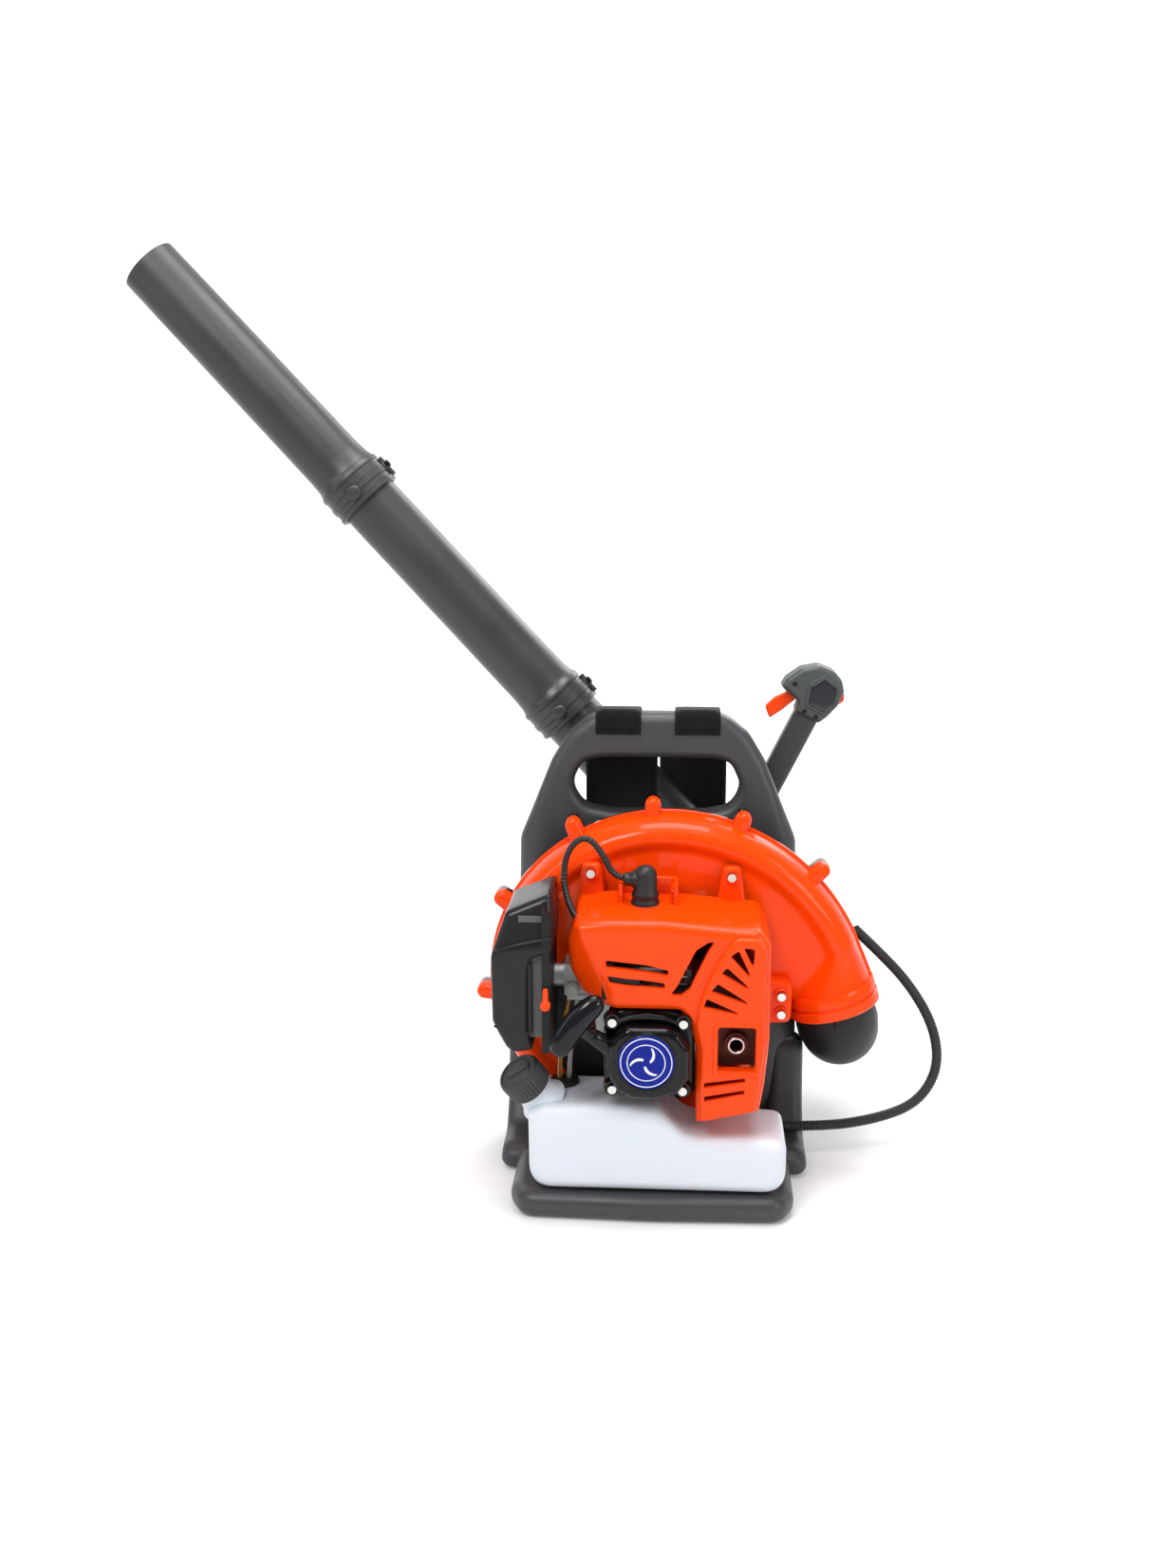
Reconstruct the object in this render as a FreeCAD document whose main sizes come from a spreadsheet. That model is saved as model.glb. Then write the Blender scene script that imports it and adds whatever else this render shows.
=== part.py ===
import FreeCAD, Part
import math
import os
import re
import Sketcher
from FreeCAD import Placement, Rotation, Vector

# Backpack leaf blower, millimetres. X to the blower's right as seen from the engine side,
# -Y towards the engine side, +Y towards the wearer, Z up, origin at the middle of the base.

SIZES = {
    # back frame and base
    "frame_front": 52, "frame_depth": 36, "frame_wall": 4, "frame_top": 503,
    "frame_half": 161, "foot_half": 169, "hole_bottom": 396, "hole_top": 453,
    "base_half": 149, "base_reach": 150, "bar_height": 28, "bar_width": 25,
    # engine lines
    "crank_x": -5, "crank_z": 183, "cyl_y": -82, "stroke": 32, "bore_radius": 20,
    "shaft_radius": 8.5, "case_radius": 40, "case_rear": -41, "case_front": -110,
    "head_top": 300, "rod_length": 58,
    # fan housing
    "shell_front": -40, "shell_rear": 36, "shell_wall": 3, "fan_radius": 112,
    "inlet_radius": 78, "outlet_x": 193.3, "outlet_z": 200.3, "outlet_tilt": 15,
    "duct_radius": 44, "duct_wall": 3,
    # air hose and tubes
    "tube_angle": 47, "bend_radius": 75, "hose_radius": 45.5, "hose_y": 75,
    "tube_radius": 35, "tube_wall": 2,
    "swivel_length": 379, "mid_length": 336, "nozzle_length": 355,
    "handle_station": 120, "arm_length": 189,
    "mouth_radius": 31.5,
    # tank and starter
    "tank_front": -140, "tank_rear": -45, "tank_top": 124, "tank_low": 90, "tank_wall": 2.5,
    "bolt_square": 72, "starter_front": -160, "plate_front": -134,
    "flywheel_radius": 43, "reel_radius": 29, "cap_radius": 24,
    # engine cover and air cleaner
    "cover_front": -140, "cover_rear": -48, "cover_wall": 3,
    "filter_front": -148, "filter_rear": -58, "filter_left": -164,
    # straps and cords
    "pad_width": 76, "pad_thick": 8, "web_width": 40, "web_thick": 2,
    "conduit_radius": 6, "lead_radius": 3.5, "fuel_line_radius": 2.5,
}

FUNCTIONS = ("sin", "cos", "tan", "sqrt")

doc = FreeCAD.newDocument("leaf_blower")
sheet = doc.addObject("Spreadsheet::Sheet", "dims")
for row, (word, number) in enumerate(SIZES.items(), start=1):
    sheet.set("A%d" % row, word.replace("_", " "))
    sheet.set("B%d" % row, str(number))
    sheet.setAlias("B%d" % row, word)
doc.recompute()

NODES = {}
X_AXIS = Vector(1, 0, 0)
Y_AXIS = Vector(0, 1, 0)
Z_AXIS = Vector(0, 0, 1)
NORMAL_SIGN = {"XY_Plane": 1, "XZ_Plane": -1, "YZ_Plane": 1}


def size(word):
    """The sheet's number for one alias."""
    return float(getattr(sheet, word))


def formula(text):
    """An expression in which each bare word is an alias of the sheet."""
    swap = lambda m: m.group(0) if m.group(0) in FUNCTIONS else "dims." + m.group(0)
    return re.sub(r"[a-z][a-z_]*", swap, str(text))


def bind(item, **rules):
    for prop, text in rules.items():
        item.setExpression(prop, formula(text))


def put(item, at):
    for letter, text in zip("xyz", at):
        item.setExpression(".Placement.Base." + letter, formula(text))


def turned(axis):
    return Placement(Vector(), Rotation(Z_AXIS, axis))


# ---------------------------------------------------------------- primitives and booleans

def cylinder(radius, height, at, axis=Z_AXIS):
    item = doc.addObject("Part::Cylinder", "cylinder")
    item.Placement = turned(axis)
    bind(item, Radius=radius, Height=height)
    put(item, at)
    return item


def cone(low, high, height, at, axis=Z_AXIS):
    item = doc.addObject("Part::Cone", "cone")
    item.Placement = turned(axis)
    bind(item, Radius1=low, Radius2=high, Height=height)
    put(item, at)
    return item


def box(wide, deep, tall, at):
    item = doc.addObject("Part::Box", "box")
    bind(item, Length=wide, Width=deep, Height=tall)
    put(item, at)
    return item


def hexagon(radius, height, at, axis=Z_AXIS):
    item = doc.addObject("Part::Prism", "hexagon")
    item.Polygon = 6
    item.Placement = turned(axis)
    bind(item, Circumradius=radius, Height=height)
    put(item, at)
    return item


def fuse(*items):
    item = doc.addObject("Part::MultiFuse", "fusion")
    item.Shapes = list(items)
    return item


def cut(base, *tools):
    item = doc.addObject("Part::Cut", "cut")
    item.Base = base
    item.Tool = tools[0] if len(tools) == 1 else fuse(*tools)
    return item


def group(*items):
    item = doc.addObject("Part::Compound", "group")
    item.Links = list(items)
    return item


def shaped(shape):
    """A feature holding a shape that is worked out in code from the sheet's sizes."""
    item = doc.addObject("Part::Feature", "shaped")
    item.Shape = shape
    return item


def tube(outer, inner, height, at, axis=Z_AXIS):
    return cut(cylinder(outer, height, at, axis), cylinder(inner, height, at, axis))


# ---------------------------------------------------------------- part design bodies

def outline(body, plane, level, corners):
    """A closed sketch of straight sides whose corners are tied to the sheet."""
    sketch = body.newObject("Sketcher::SketchObject", "outline")
    faces = [f for f in body.Origin.OriginFeatures if f.Role == plane]
    sketch.AttachmentSupport = [(faces[0], "")]
    sketch.MapMode = "FlatFace"
    rule = "%d * (%s)" % (NORMAL_SIGN[plane], formula(level))
    sketch.setExpression("AttachmentOffset.Base.z", rule)
    count = len(corners)
    for i in range(count):
        sketch.addGeometry(Part.LineSegment(Vector(i, i * i, 0), Vector(i + 1, (i + 1) ** 2, 0)))
    for i in range(count):
        sketch.addConstraint(Sketcher.Constraint("Coincident", i, 2, (i + 1) % count, 1))
    for i, corner in enumerate(corners):
        for kind, text in zip(("DistanceX", "DistanceY"), corner):
            index = sketch.addConstraint(Sketcher.Constraint(kind, -1, 1, i, 1, 1.0))
            sketch.setExpression("Constraints[%d]" % index, formula(text))
    return sketch


def prism(plane, level, depth, corners):
    """A body padded from one level along the plane's own normal."""
    body = doc.addObject("PartDesign::Body", "body")
    pad = body.newObject("PartDesign::Pad", "pad")
    pad.Profile = outline(body, plane, level, corners)
    bind(pad, Length=depth)
    body.Tip = pad
    doc.recompute()
    return body


def pocket(body, plane, level, depth, corners):
    """Cuts along the plane's own normal from one level."""
    before = body.Tip.Shape.Volume
    step = body.newObject("PartDesign::Pocket", "pocket")
    step.Profile = outline(body, plane, level, corners)
    step.Reversed = True
    bind(step, Length=depth)
    body.Tip = step
    doc.recompute()
    assert step.Shape.Volume < before - 1, "a pocket cut nothing"
    return body


def rounded(body, radius, pick):
    """Rounds the edges of the body that the test picks."""
    base = body.Tip
    names = ["Edge%d" % (i + 1) for i, edge in enumerate(base.Shape.Edges) if pick(edge)]
    step = body.newObject("PartDesign::Fillet", "rounding")
    step.Base = (base, names)
    bind(step, Radius=radius)
    body.Tip = step
    doc.recompute()
    return body


def along(edge, axis):
    ends = edge.Vertexes
    if len(ends) != 2:
        return False
    run = ends[1].Point - ends[0].Point
    return run.Length > 0.1 and abs(run.normalize().dot(axis)) > 0.999


# ---------------------------------------------------------------- swept shapes

def smooth_path(points, bend=None):
    """Straight runs joined by tangent arcs; each arc uses 0.45 of the shorter run."""
    points = [Vector(*p) for p in points]
    edges = []
    start = points[0]
    for before, corner, after in zip(points, points[1:], points[2:]):
        inward = (corner - before).normalize()
        outward = (after - corner).normalize()
        turn = inward.getAngle(outward)
        reach = 0.45 * min((corner - before).Length, (after - corner).Length)
        if bend is not None:
            reach = min(reach, bend * math.tan(turn / 2))
        first = corner - inward * reach
        last = corner + outward * reach
        half = (outward - inward).normalize()
        radius = reach / math.tan(turn / 2)
        middle = corner + half * (radius / math.cos(turn / 2) - radius)
        edges.append(Part.makeLine(start, first))
        edges.append(Part.Arc(first, middle, last).toShape())
        start = last
    edges.append(Part.makeLine(start, points[-1]))
    return Part.Wire(edges)


def cord(points, radius, bend=None):
    path = smooth_path(points, bend)
    along_start = (Vector(*points[1]) - Vector(*points[0])).normalize()
    ring = Part.Wire([Part.makeCircle(radius, Vector(*points[0]), along_start)])
    return path.makePipeShell([ring], True, False)


def band(points, left, width, thick, bend):
    """A flat band of even thickness whose middle line lies in a plane across X."""
    path = smooth_path([(left, y, z) for y, z in points], bend)
    start = Vector(left, *points[0])
    run = (Vector(left, *points[1]) - start).normalize()
    across = X_AXIS.cross(run) * (thick / 2)
    ends = [start + across, start + across + X_AXIS * width,
            start - across + X_AXIS * width, start - across]
    section = Part.makePolygon(ends + ends[:1])
    return path.makePipeShell([section], True, True)


# ---------------------------------------------------------------- frame and straps

def make_back_frame():
    side = [("-foot_half", 28), ("-frame_half", 100), ("-frame_half + 7", 366),
            ("-frame_half + 22", 400), ("-frame_half + 44", 448),
            ("-frame_half + 64", 478), ("-frame_half + 92", "frame_top")]
    mirrored = [("-1*(%s)" % x, z) for x, z in reversed(side)]
    floor = [("foot_half - 12", 0), ("-foot_half + 12", 0)]
    rear = "frame_front + frame_depth"
    body = prism("XZ_Plane", rear, "frame_depth", side + mirrored + floor)
    rounded(body, 26, lambda e: along(e, Y_AXIS) and e.BoundBox.ZMin > 470)
    rounded(body, 8, lambda e: along(e, Y_AXIS) and 300 < e.BoundBox.ZMin < 470)
    hole = [(-58, "hole_bottom - 4"), (58, "hole_bottom - 4"), (82, "hole_bottom + 4"),
            (90, "hole_bottom + 26"), (72, "hole_top"), (-72, "hole_top"),
            (-92, "hole_bottom + 26"), (-82, "hole_bottom + 4")]
    pocket(body, "XZ_Plane", rear, "frame_depth", hole)
    well = [("-frame_half + 12", 50), ("frame_half - 12", 50), ("frame_half - 18", 352),
            ("frame_half - 36", 376), ("-frame_half + 36", 376), ("-frame_half + 18", 352)]
    pocket(body, "XZ_Plane", rear, "frame_depth - frame_wall", well)
    for sign in (-1, 1):
        foot = [("%d * 127.5" % sign, "frame_front + 1"), ("%d * 127.5" % sign, -20),
                ("%d * 148" % sign, -34), ("%d * foot_half" % sign, -12),
                ("%d * foot_half" % sign, "frame_front + 1")]
        step = body.newObject("PartDesign::Pad", "pad")
        step.Profile = outline(body, "XY_Plane", 0, foot)
        step.setExpression("Length", formula("bar_height"))
        body.Tip = step
        doc.recompute()
    NODES["back_frame"] = body


def make_base_frame():
    reach = "-base_reach"
    shape = [("-base_half", -35.5), ("-base_half", reach), ("base_half", reach),
             ("base_half", -35.5), (127, -21), (127, "frame_front"), (-127, "frame_front"),
             (-127, -21)]
    body = prism("XY_Plane", 0, "bar_height", shape)
    rounded(body, 34, lambda e: along(e, Z_AXIS) and e.BoundBox.YMax < -100)
    inner = [("-base_half + bar_width", -40), ("-base_half + bar_width", reach + " + bar_width"),
             ("base_half - bar_width", reach + " + bar_width"), ("base_half - bar_width", -40),
             (105, -25), (105, 30), (-105, 30), (-105, -25)]
    pocket(body, "XY_Plane", 0, "bar_height - 6", inner)
    socket = box(20, 20, 18.5, (106, 8, "bar_height"))
    ribs = [box(214, 6, "bar_height - 5", (-107, -3, 0)), box(252, 5, "bar_height - 5", (-126, -72, 0)),
            box(6, 160, "bar_height - 5", (-3, -127, 0))]
    NODES["base_frame"] = fuse(body, socket, *ribs)


def make_back_pad():
    rear = "frame_front + frame_depth"
    shape = [(-96, 120), (96, 120), (112, 160), (112, 330), (90, 366), (-90, 366),
             (-112, 330), (-112, 160)]
    NODES["back_pad"] = prism("XZ_Plane", rear + " + 15", 15, shape)


def make_straps():
    rear = size("frame_front") + size("frame_depth")
    thick = size("pad_thick")
    wide = size("pad_width")
    web = size("web_width")
    hang = rear + 15.5 + thick / 2
    left_path = [(hang - 12, 487), (hang, 468), (hang, 190)]
    right_path = [(hang - 12, 487), (hang + 42, 480), (hang + 88, 440), (hang + 88, 190)]
    buckles = []
    for name, left, path in (("left", -83, left_path), ("right", 4, right_path)):
        pad = band(path, left, wide, thick, 12)
        inset = left + (wide - web) / 2
        front = size("frame_front") - size("web_thick") / 2 - 0.4
        top = size("frame_top") + size("web_thick") / 2 + 0.4
        loop = [(front, 481), (front, top), (rear + 1.2, top), (rear + 5, 484)]
        over_bar = band(loop, inset, web, size("web_thick"), 1.3)
        low_y = path[-1][0]
        tail = [(low_y, 192), (low_y, 120), (rear + 1.2, 74), (rear + 1.2, 46)]
        lower = band(tail, inset + 7, 26, 2, 20)
        NODES["shoulder_strap_" + name] = shaped(largest(pad.fuse([over_bar, lower])))
        block = box(34, 8, 24, (inset + 3, low_y - 4, 138))
        slot = box(27, 2.4, 24, (inset + 6.5, low_y - 1.2, 138))
        buckles.append(cut(block, slot))
    NODES["strap_buckles"] = group(*buckles)


def make_vibration_mounts():
    spots = [(-104, 118), (90, 118), (-112, 292), (108, 292)]
    NODES["vibration_mounts"] = group(*[
        cylinder(12, "frame_front - shell_rear", (x, "shell_rear", z), Y_AXIS) for x, z in spots])


# ---------------------------------------------------------------- fan housing

SPIRAL = [(8, 125), (45, 128), (90, 136), (128, 146), (160, 158), (200, 184), (235, 206),
          (270, 222), (305, 231), (341, 238)]


def spiral_point(turn, radius):
    angle = math.radians(turn)
    return Vector(size("crank_x") + radius * math.cos(angle), 0,
                  size("crank_z") - radius * math.sin(angle))


def outlet_direction():
    tilt = math.radians(size("outlet_tilt"))
    return Vector(math.sin(tilt), 0, -math.cos(tilt))


def scroll_solid(inset, front, rear, rounding):
    """The volute as a solid, drawn in by one wall thickness."""
    points = [spiral_point(turn, radius - inset) for turn, radius in SPIRAL]
    curve = Part.BSplineCurve()
    curve.interpolate(points)
    edges = [curve.toShape(), Part.makeLine(points[-1], points[0])]
    face = Part.Face(Part.Wire(edges))
    face.translate(Vector(0, rear, 0))
    solid = face.extrude(Vector(0, front - rear, 0))
    rims = [e for e in solid.Edges if abs(e.BoundBox.YMin - e.BoundBox.YMax) < 1e-3
            and e.Length > 300]
    solid = solid.makeFillet(rounding, rims)
    return solid.fuse(outlet_solid(inset, front, rear))


def outlet_solid(inset, front, rear):
    """The duct that takes the rectangular scroll section to a round mouth."""
    mouth = Vector(size("outlet_x"), 0, size("outlet_z"))
    down = outlet_direction()
    side = Y_AXIS.cross(down)
    radius = size("duct_radius") + 3 - inset
    lo_x, hi_x, level = 112 + inset, 222 - inset, 262
    top, low = [], []
    middle = Vector((lo_x + hi_x) / 2, (front + rear) / 2, level)
    for i in range(24):
        angle = 2 * math.pi * i / 24
        c, s = math.cos(angle), math.sin(angle)
        power = 0.45
        u = math.copysign(abs(c) ** power, c) * (hi_x - lo_x) / 2
        v = math.copysign(abs(s) ** power, s) * (rear - front) / 2
        top.append(middle + Vector(u, v, 0))
        low.append(mouth - side * (radius * c) + Y_AXIS * (radius * s))
    rings = []
    for ring in (top, low):
        curve = Part.BSplineCurve()
        curve.interpolate(ring, PeriodicFlag=True)
        rings.append(Part.Wire([curve.toShape()]))
    duct = Part.makeLoft(rings, True, True)
    collar = Part.makeCylinder(radius, 14 + inset / 3.0, mouth - down * 2, down)
    return duct.fuse(collar)


def make_fan_housing():
    front, rear = size("shell_front"), size("shell_rear")
    wall = size("shell_wall")
    outer = scroll_solid(0, front, rear, 16)
    inner = scroll_solid(wall, front + wall, rear - wall, 13)
    shell = outer.cut(inner)
    crank = Vector(size("crank_x"), 0, size("crank_z"))
    halves = {}
    for name, low in (("front", -400), ("rear", 0)):
        keep = Part.makeBox(900, 400, 900, Vector(-450, low, -100))
        halves[name] = shell.common(keep)
    shaft_hole = Part.makeCylinder(24, 20, crank + Y_AXIS * (front - 8), Y_AXIS)
    for x, z in COVER_BOLTS:
        shaft_hole = shaft_hole.fuse(Part.makeCylinder(2.7, 20, Vector(x, front - 8, z), Y_AXIS))
    inlet = Part.makeCylinder(size("inlet_radius"), 20, crank + Y_AXIS * (rear - 12), Y_AXIS)
    front_half = halves["front"].cut(shaft_hole)
    rear_half = halves["rear"].cut(inlet)
    lip = Part.makeCylinder(size("inlet_radius") + 3, 15, crank + Y_AXIS * (rear - 15), Y_AXIS)
    lip = lip.cut(Part.makeCylinder(size("inlet_radius"), 15, crank + Y_AXIS * (rear - 15), Y_AXIS))
    rear_half = rear_half.fuse(lip)
    for x, z in LUGS:
        hole = Part.makeCylinder(2.6, 40, Vector(x, -20, z), Y_AXIS)
        toward = (crank - Vector(x, 0, z)).normalize()
        for low, kind in ((-11, "front"), (0, "rear")):
            lug = Part.makeCylinder(7.5, 11, Vector(x, low, z), Y_AXIS)
            corner = Vector(x, low, z)
            across = toward.cross(Y_AXIS) * 7.5
            foot = corner + toward * 17
            web = Part.Face(Part.makePolygon([corner + across, corner - across, foot - across,
                                              foot + across, corner + across]))
            lug = lug.fuse(web.extrude(Y_AXIS * 11)).cut(inner)
            if kind == "front":
                front_half = front_half.fuse(lug).cut(hole)
            else:
                rear_half = rear_half.fuse(lug).cut(hole)
    NODES["fan_housing_front"] = shaped(largest(front_half.removeSplitter()))
    NODES["fan_housing_rear"] = guard_ring(shaped(largest(rear_half.removeSplitter())))


def screw(x, head_y, z, grip):
    """One M5 screw whose head's underside is at head_y."""
    return fuse(cylinder(4.4, 4.5, (x, "%s - 4.5" % head_y, z), Y_AXIS),
                cylinder(2.5, grip, (x, head_y, z), Y_AXIS))


def make_screws():
    items = [screw(x, -11, z, 20) for x, z in LUGS]
    items += [screw(x, "cover_rear - 6", z, 18) for x, z in COVER_BOLTS]
    items += [screw(x, "plate_front - 9", z, 20) for x, z in starter_spots()]
    NODES["machine_screws"] = group(*items)


def starter_spots():
    half = "bolt_square / 2"
    return [(sx + " " + half, sz + " " + half) for sx in ("crank_x -", "crank_x +")
            for sz in ("crank_z -", "crank_z +")]


def largest(shape):
    solids = sorted(shape.Solids, key=lambda s: s.Volume)
    return solids[-1]


LUGS = [(-188, 202), (-168, 308), (-90, 391), (-4, 414), (93, 399), (178, 345)]


def guard_ring(bare_shell):
    """The inlet grille moulded on the rear shell."""
    level = "shell_rear - 3"
    at = ("crank_x", level, "crank_z")
    rings = []
    for radius in (58, 38, 18):
        rings.append(tube("%d + 1.5" % radius, "%d - 1.5" % radius, 3, at, Y_AXIS))
    bars = []
    for half in range(4):
        bar = box("2 * inlet_radius + 1", 3, 3, ("crank_x", level, "crank_z"))
        bar.Placement.Rotation = Rotation(Y_AXIS, 45 * half)
        reach = "(inlet_radius + 0.5)"
        angle = 45 * half
        bar.setExpression(".Placement.Base.x", formula("crank_x - %s * cos(%d)" % (reach, angle)))
        bar.setExpression(".Placement.Base.z", formula("crank_z + %s * sin(%d)" % (reach, angle)))
        bars.append(bar)
    return fuse(bare_shell, *(rings + bars))


def make_impeller():
    crank = Vector(size("crank_x"), 0, size("crank_z"))
    radius = size("fan_radius")
    plate_y = size("shell_front") + size("shell_wall") + 3
    plate = Part.makeCylinder(radius, 2.5, crank + Y_AXIS * plate_y, Y_AXIS)
    hub = Part.makeCylinder(20, 22, crank + Y_AXIS * (plate_y - 2), Y_AXIS)
    ring_y = 12
    ring = Part.makeCylinder(radius, 2.5, crank + Y_AXIS * ring_y, Y_AXIS)
    ring = ring.cut(Part.makeCylinder(72, 2.5, crank + Y_AXIS * ring_y, Y_AXIS))
    solid = plate.fuse(hub).fuse(ring)
    count = 13
    for i in range(count):
        start = math.radians(i * 360.0 / count)
        corners = []
        for step in range(5):
            far = 46 + (radius - 1 - 46) * step / 4
            angle = start + math.radians(11 * step)
            corners.append(Vector(far * math.cos(angle), 0, far * math.sin(angle)) + crank)
        curve = Part.BSplineCurve()
        curve.interpolate(corners)
        edge = curve.toShape()
        offset = [p + (crank - p).normalize().cross(Y_AXIS) * 2 for p in corners]
        other = Part.BSplineCurve()
        other.interpolate(offset)
        wire = Part.Wire([edge, Part.makeLine(corners[-1], offset[-1]), other.toShape(),
                          Part.makeLine(offset[0], corners[0])])
        blade = Part.Face(Part.Wire(Part.__sortEdges__(wire.Edges)))
        blade.translate(Y_AXIS * (plate_y + 1))
        solid = solid.fuse(blade.extrude(Y_AXIS * (ring_y + 1 - plate_y - 1)))
    bore = Part.makeCylinder(size("shaft_radius") - 1.45, 60, crank + Y_AXIS * (plate_y - 10), Y_AXIS)
    NODES["impeller"] = shaped(largest(solid.cut(bore)))
    nut_y = plate_y + 20
    NODES["shaft_nuts"] = group(shaft_nut(nut_y), shaft_nut(-133))


def shaft_nut(low_y):
    at = ("crank_x", low_y, "crank_z")
    return cut(hexagon(10, 7, at, Y_AXIS), cylinder("shaft_radius - 1.45", 7, at, Y_AXIS))


# ---------------------------------------------------------------- engine

def make_crankcase():
    rear_at = ("crank_x", "cyl_y", "crank_z")
    rear = fuse(cylinder("case_radius", "case_rear - cyl_y", rear_at, Y_AXIS),
                cylinder(58, 5, ("crank_x", "case_rear - 4", "crank_z"), Y_AXIS),
                box(64, "case_rear - cyl_y - 8", 38, ("crank_x - 32", "cyl_y", "crank_z")))
    rear = cut(rear, cylinder("case_radius - 5", 18, rear_at, Y_AXIS),
               cylinder("shaft_radius + 0.05", 60, rear_at, Y_AXIS),
               box(80, 80, 20, ("crank_x - 40", "cyl_y - 40", "crank_z + 38")),
               cylinder("bore_radius + 1", 60, ("crank_x", "cyl_y", "crank_z")))
    front_at = ("crank_x", "case_front", "crank_z")
    front = fuse(cylinder("case_radius", "cyl_y - case_front", front_at, Y_AXIS),
                 box(64, "cyl_y - case_front", 38, ("crank_x - 32", "case_front", "crank_z")))
    front = cut(front, cylinder("case_radius - 5", 18, ("crank_x", "cyl_y - 18", "crank_z"), Y_AXIS),
                cylinder("shaft_radius + 0.05", 60, front_at, Y_AXIS),
                box(80, 80, 20, ("crank_x - 40", "cyl_y - 40", "crank_z + 38")),
                cylinder("bore_radius + 1", 60, ("crank_x", "cyl_y", "crank_z")))
    NODES["crankcase_rear"] = rear
    NODES["crankcase_front"] = front


def make_crank_train():
    pin_z = "crank_z + stroke / 2"
    shaft = fuse(cylinder("shaft_radius", 32, ("crank_x", "cyl_y + 8", "crank_z"), Y_AXIS),
                 cylinder("shaft_radius - 1.5", 64, ("crank_x", "cyl_y + 8", "crank_z"), Y_AXIS),
                 cylinder(33, 9, ("crank_x", "cyl_y + 7", "crank_z"), Y_AXIS),
                 cylinder(33, 9, ("crank_x", "cyl_y - 16", "crank_z"), Y_AXIS),
                 cylinder(7, 20, ("crank_x", "cyl_y - 10", pin_z), Y_AXIS),
                 cylinder("shaft_radius", 20, ("crank_x", "cyl_y - 30", "crank_z"), Y_AXIS),
                 cylinder("shaft_radius - 1.5", 48, ("crank_x", "cyl_y - 58", "crank_z"), Y_AXIS))
    NODES["crankshaft"] = shaft
    small_z = pin_z + " + rod_length"
    rod = fuse(cylinder(12, 12, ("crank_x", "cyl_y - 6", pin_z), Y_AXIS),
               cylinder(8, 12, ("crank_x", "cyl_y - 6", small_z), Y_AXIS),
               box(9, 6, "rod_length - 8", ("crank_x - 4.5", "cyl_y - 3", pin_z + " + 4")))
    NODES["connecting_rod"] = cut(rod, cylinder(7.03, 12, ("crank_x", "cyl_y - 6", pin_z), Y_AXIS),
                                  cylinder(5.03, 12, ("crank_x", "cyl_y - 6", small_z), Y_AXIS))
    low = small_z + " - 13"
    piston = cut(cylinder("bore_radius - 0.05", 27, ("crank_x", "cyl_y", low)),
                 cylinder("bore_radius - 3", 23, ("crank_x", "cyl_y", low)),
                 tube("bore_radius + 1", "bore_radius - 1.4", 1.6,
                      ("crank_x", "cyl_y", small_z + " + 9")))
    NODES["piston"] = fuse(piston, cylinder(5, 36, ("crank_x", "cyl_y - 18", small_z), Y_AXIS))


def make_cylinder():
    deck = "crank_z + 38"
    barrel = fuse(cylinder("bore_radius + 5", "head_top - crank_z - 38", ("crank_x", "cyl_y", deck)),
                  box(60, 52, 6, ("crank_x - 30", "cyl_y - 26", deck)),
                  box(34, 30, 26, ("crank_x + 10", "cyl_y - 15", "head_top - 66")),
                  box(34, 30, 26, ("crank_x - 44", "cyl_y - 15", "head_top - 66")))
    fins = []
    for i in range(9):
        level = "head_top - %s" % (66 - 8 * i)
        fins.append(box(78, 68, 2, ("crank_x - 39", "cyl_y - 34", level)))
    solid = fuse(barrel, *fins)
    NODES["cylinder"] = cut(solid, cylinder("bore_radius", 51.5, ("crank_x", "cyl_y", deck)),
                            cylinder("bore_radius", 20, ("crank_x", "cyl_y", "crank_z + 30")),
                            cylinder(8, 30, ("crank_x + 18", "cyl_y", "head_top - 53"), X_AXIS),
                            cylinder(8, 30, ("crank_x - 48", "cyl_y", "head_top - 53"), X_AXIS),
                            cylinder(5, 60, ("crank_x", "cyl_y", "head_top - 40")))


def make_ignition():
    at = lambda z: ("crank_x", "cyl_y", "head_top + %s" % z)
    plug = fuse(cylinder(4.95, 18, at(-18)), hexagon(10, 12, at(0)), cylinder(5, 30, at(12)),
                cylinder(3, 6, at(42)))
    NODES["spark_plug"] = plug
    boot = fuse(cylinder(9.5, 30, at(15)), cone(9.5, 11, 8, at(34)), cylinder(11, 22, at(42)),
                cylinder(7.5, 30, ("crank_x - 30", "cyl_y", "head_top + 52"), X_AXIS))
    bore = fuse(cylinder(5, 27, at(15)), cylinder(3, 7, at(41.9)))
    lead_hole = cylinder("lead_radius", 14, ("crank_x - 30", "cyl_y", "head_top + 52"), X_AXIS)
    NODES["spark_plug_cap"] = cut(boot, bore, lead_hole)
    NODES["ignition_lead"] = shaped(cord(LEAD_POINTS, size("lead_radius")))
    coil = fuse(box(38, 15, 24, (-52, "plate_front - 2", 240)), cylinder(6, 16, (-46, -128, 262)))
    NODES["ignition_coil"] = cut(coil, cylinder("lead_radius", 12, (-46, -128, 267)))


LEAD_POINTS = [(-22, -82, 352), (-42, -82, 352), (-54, -80, 378), (-72, -78, 398), (-92, -76, 380),
               (-96, -76, 346), (-84, -98, 316), (-58, -126, 304), (-46, -128, 284), (-46, -128, 268)]


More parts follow.
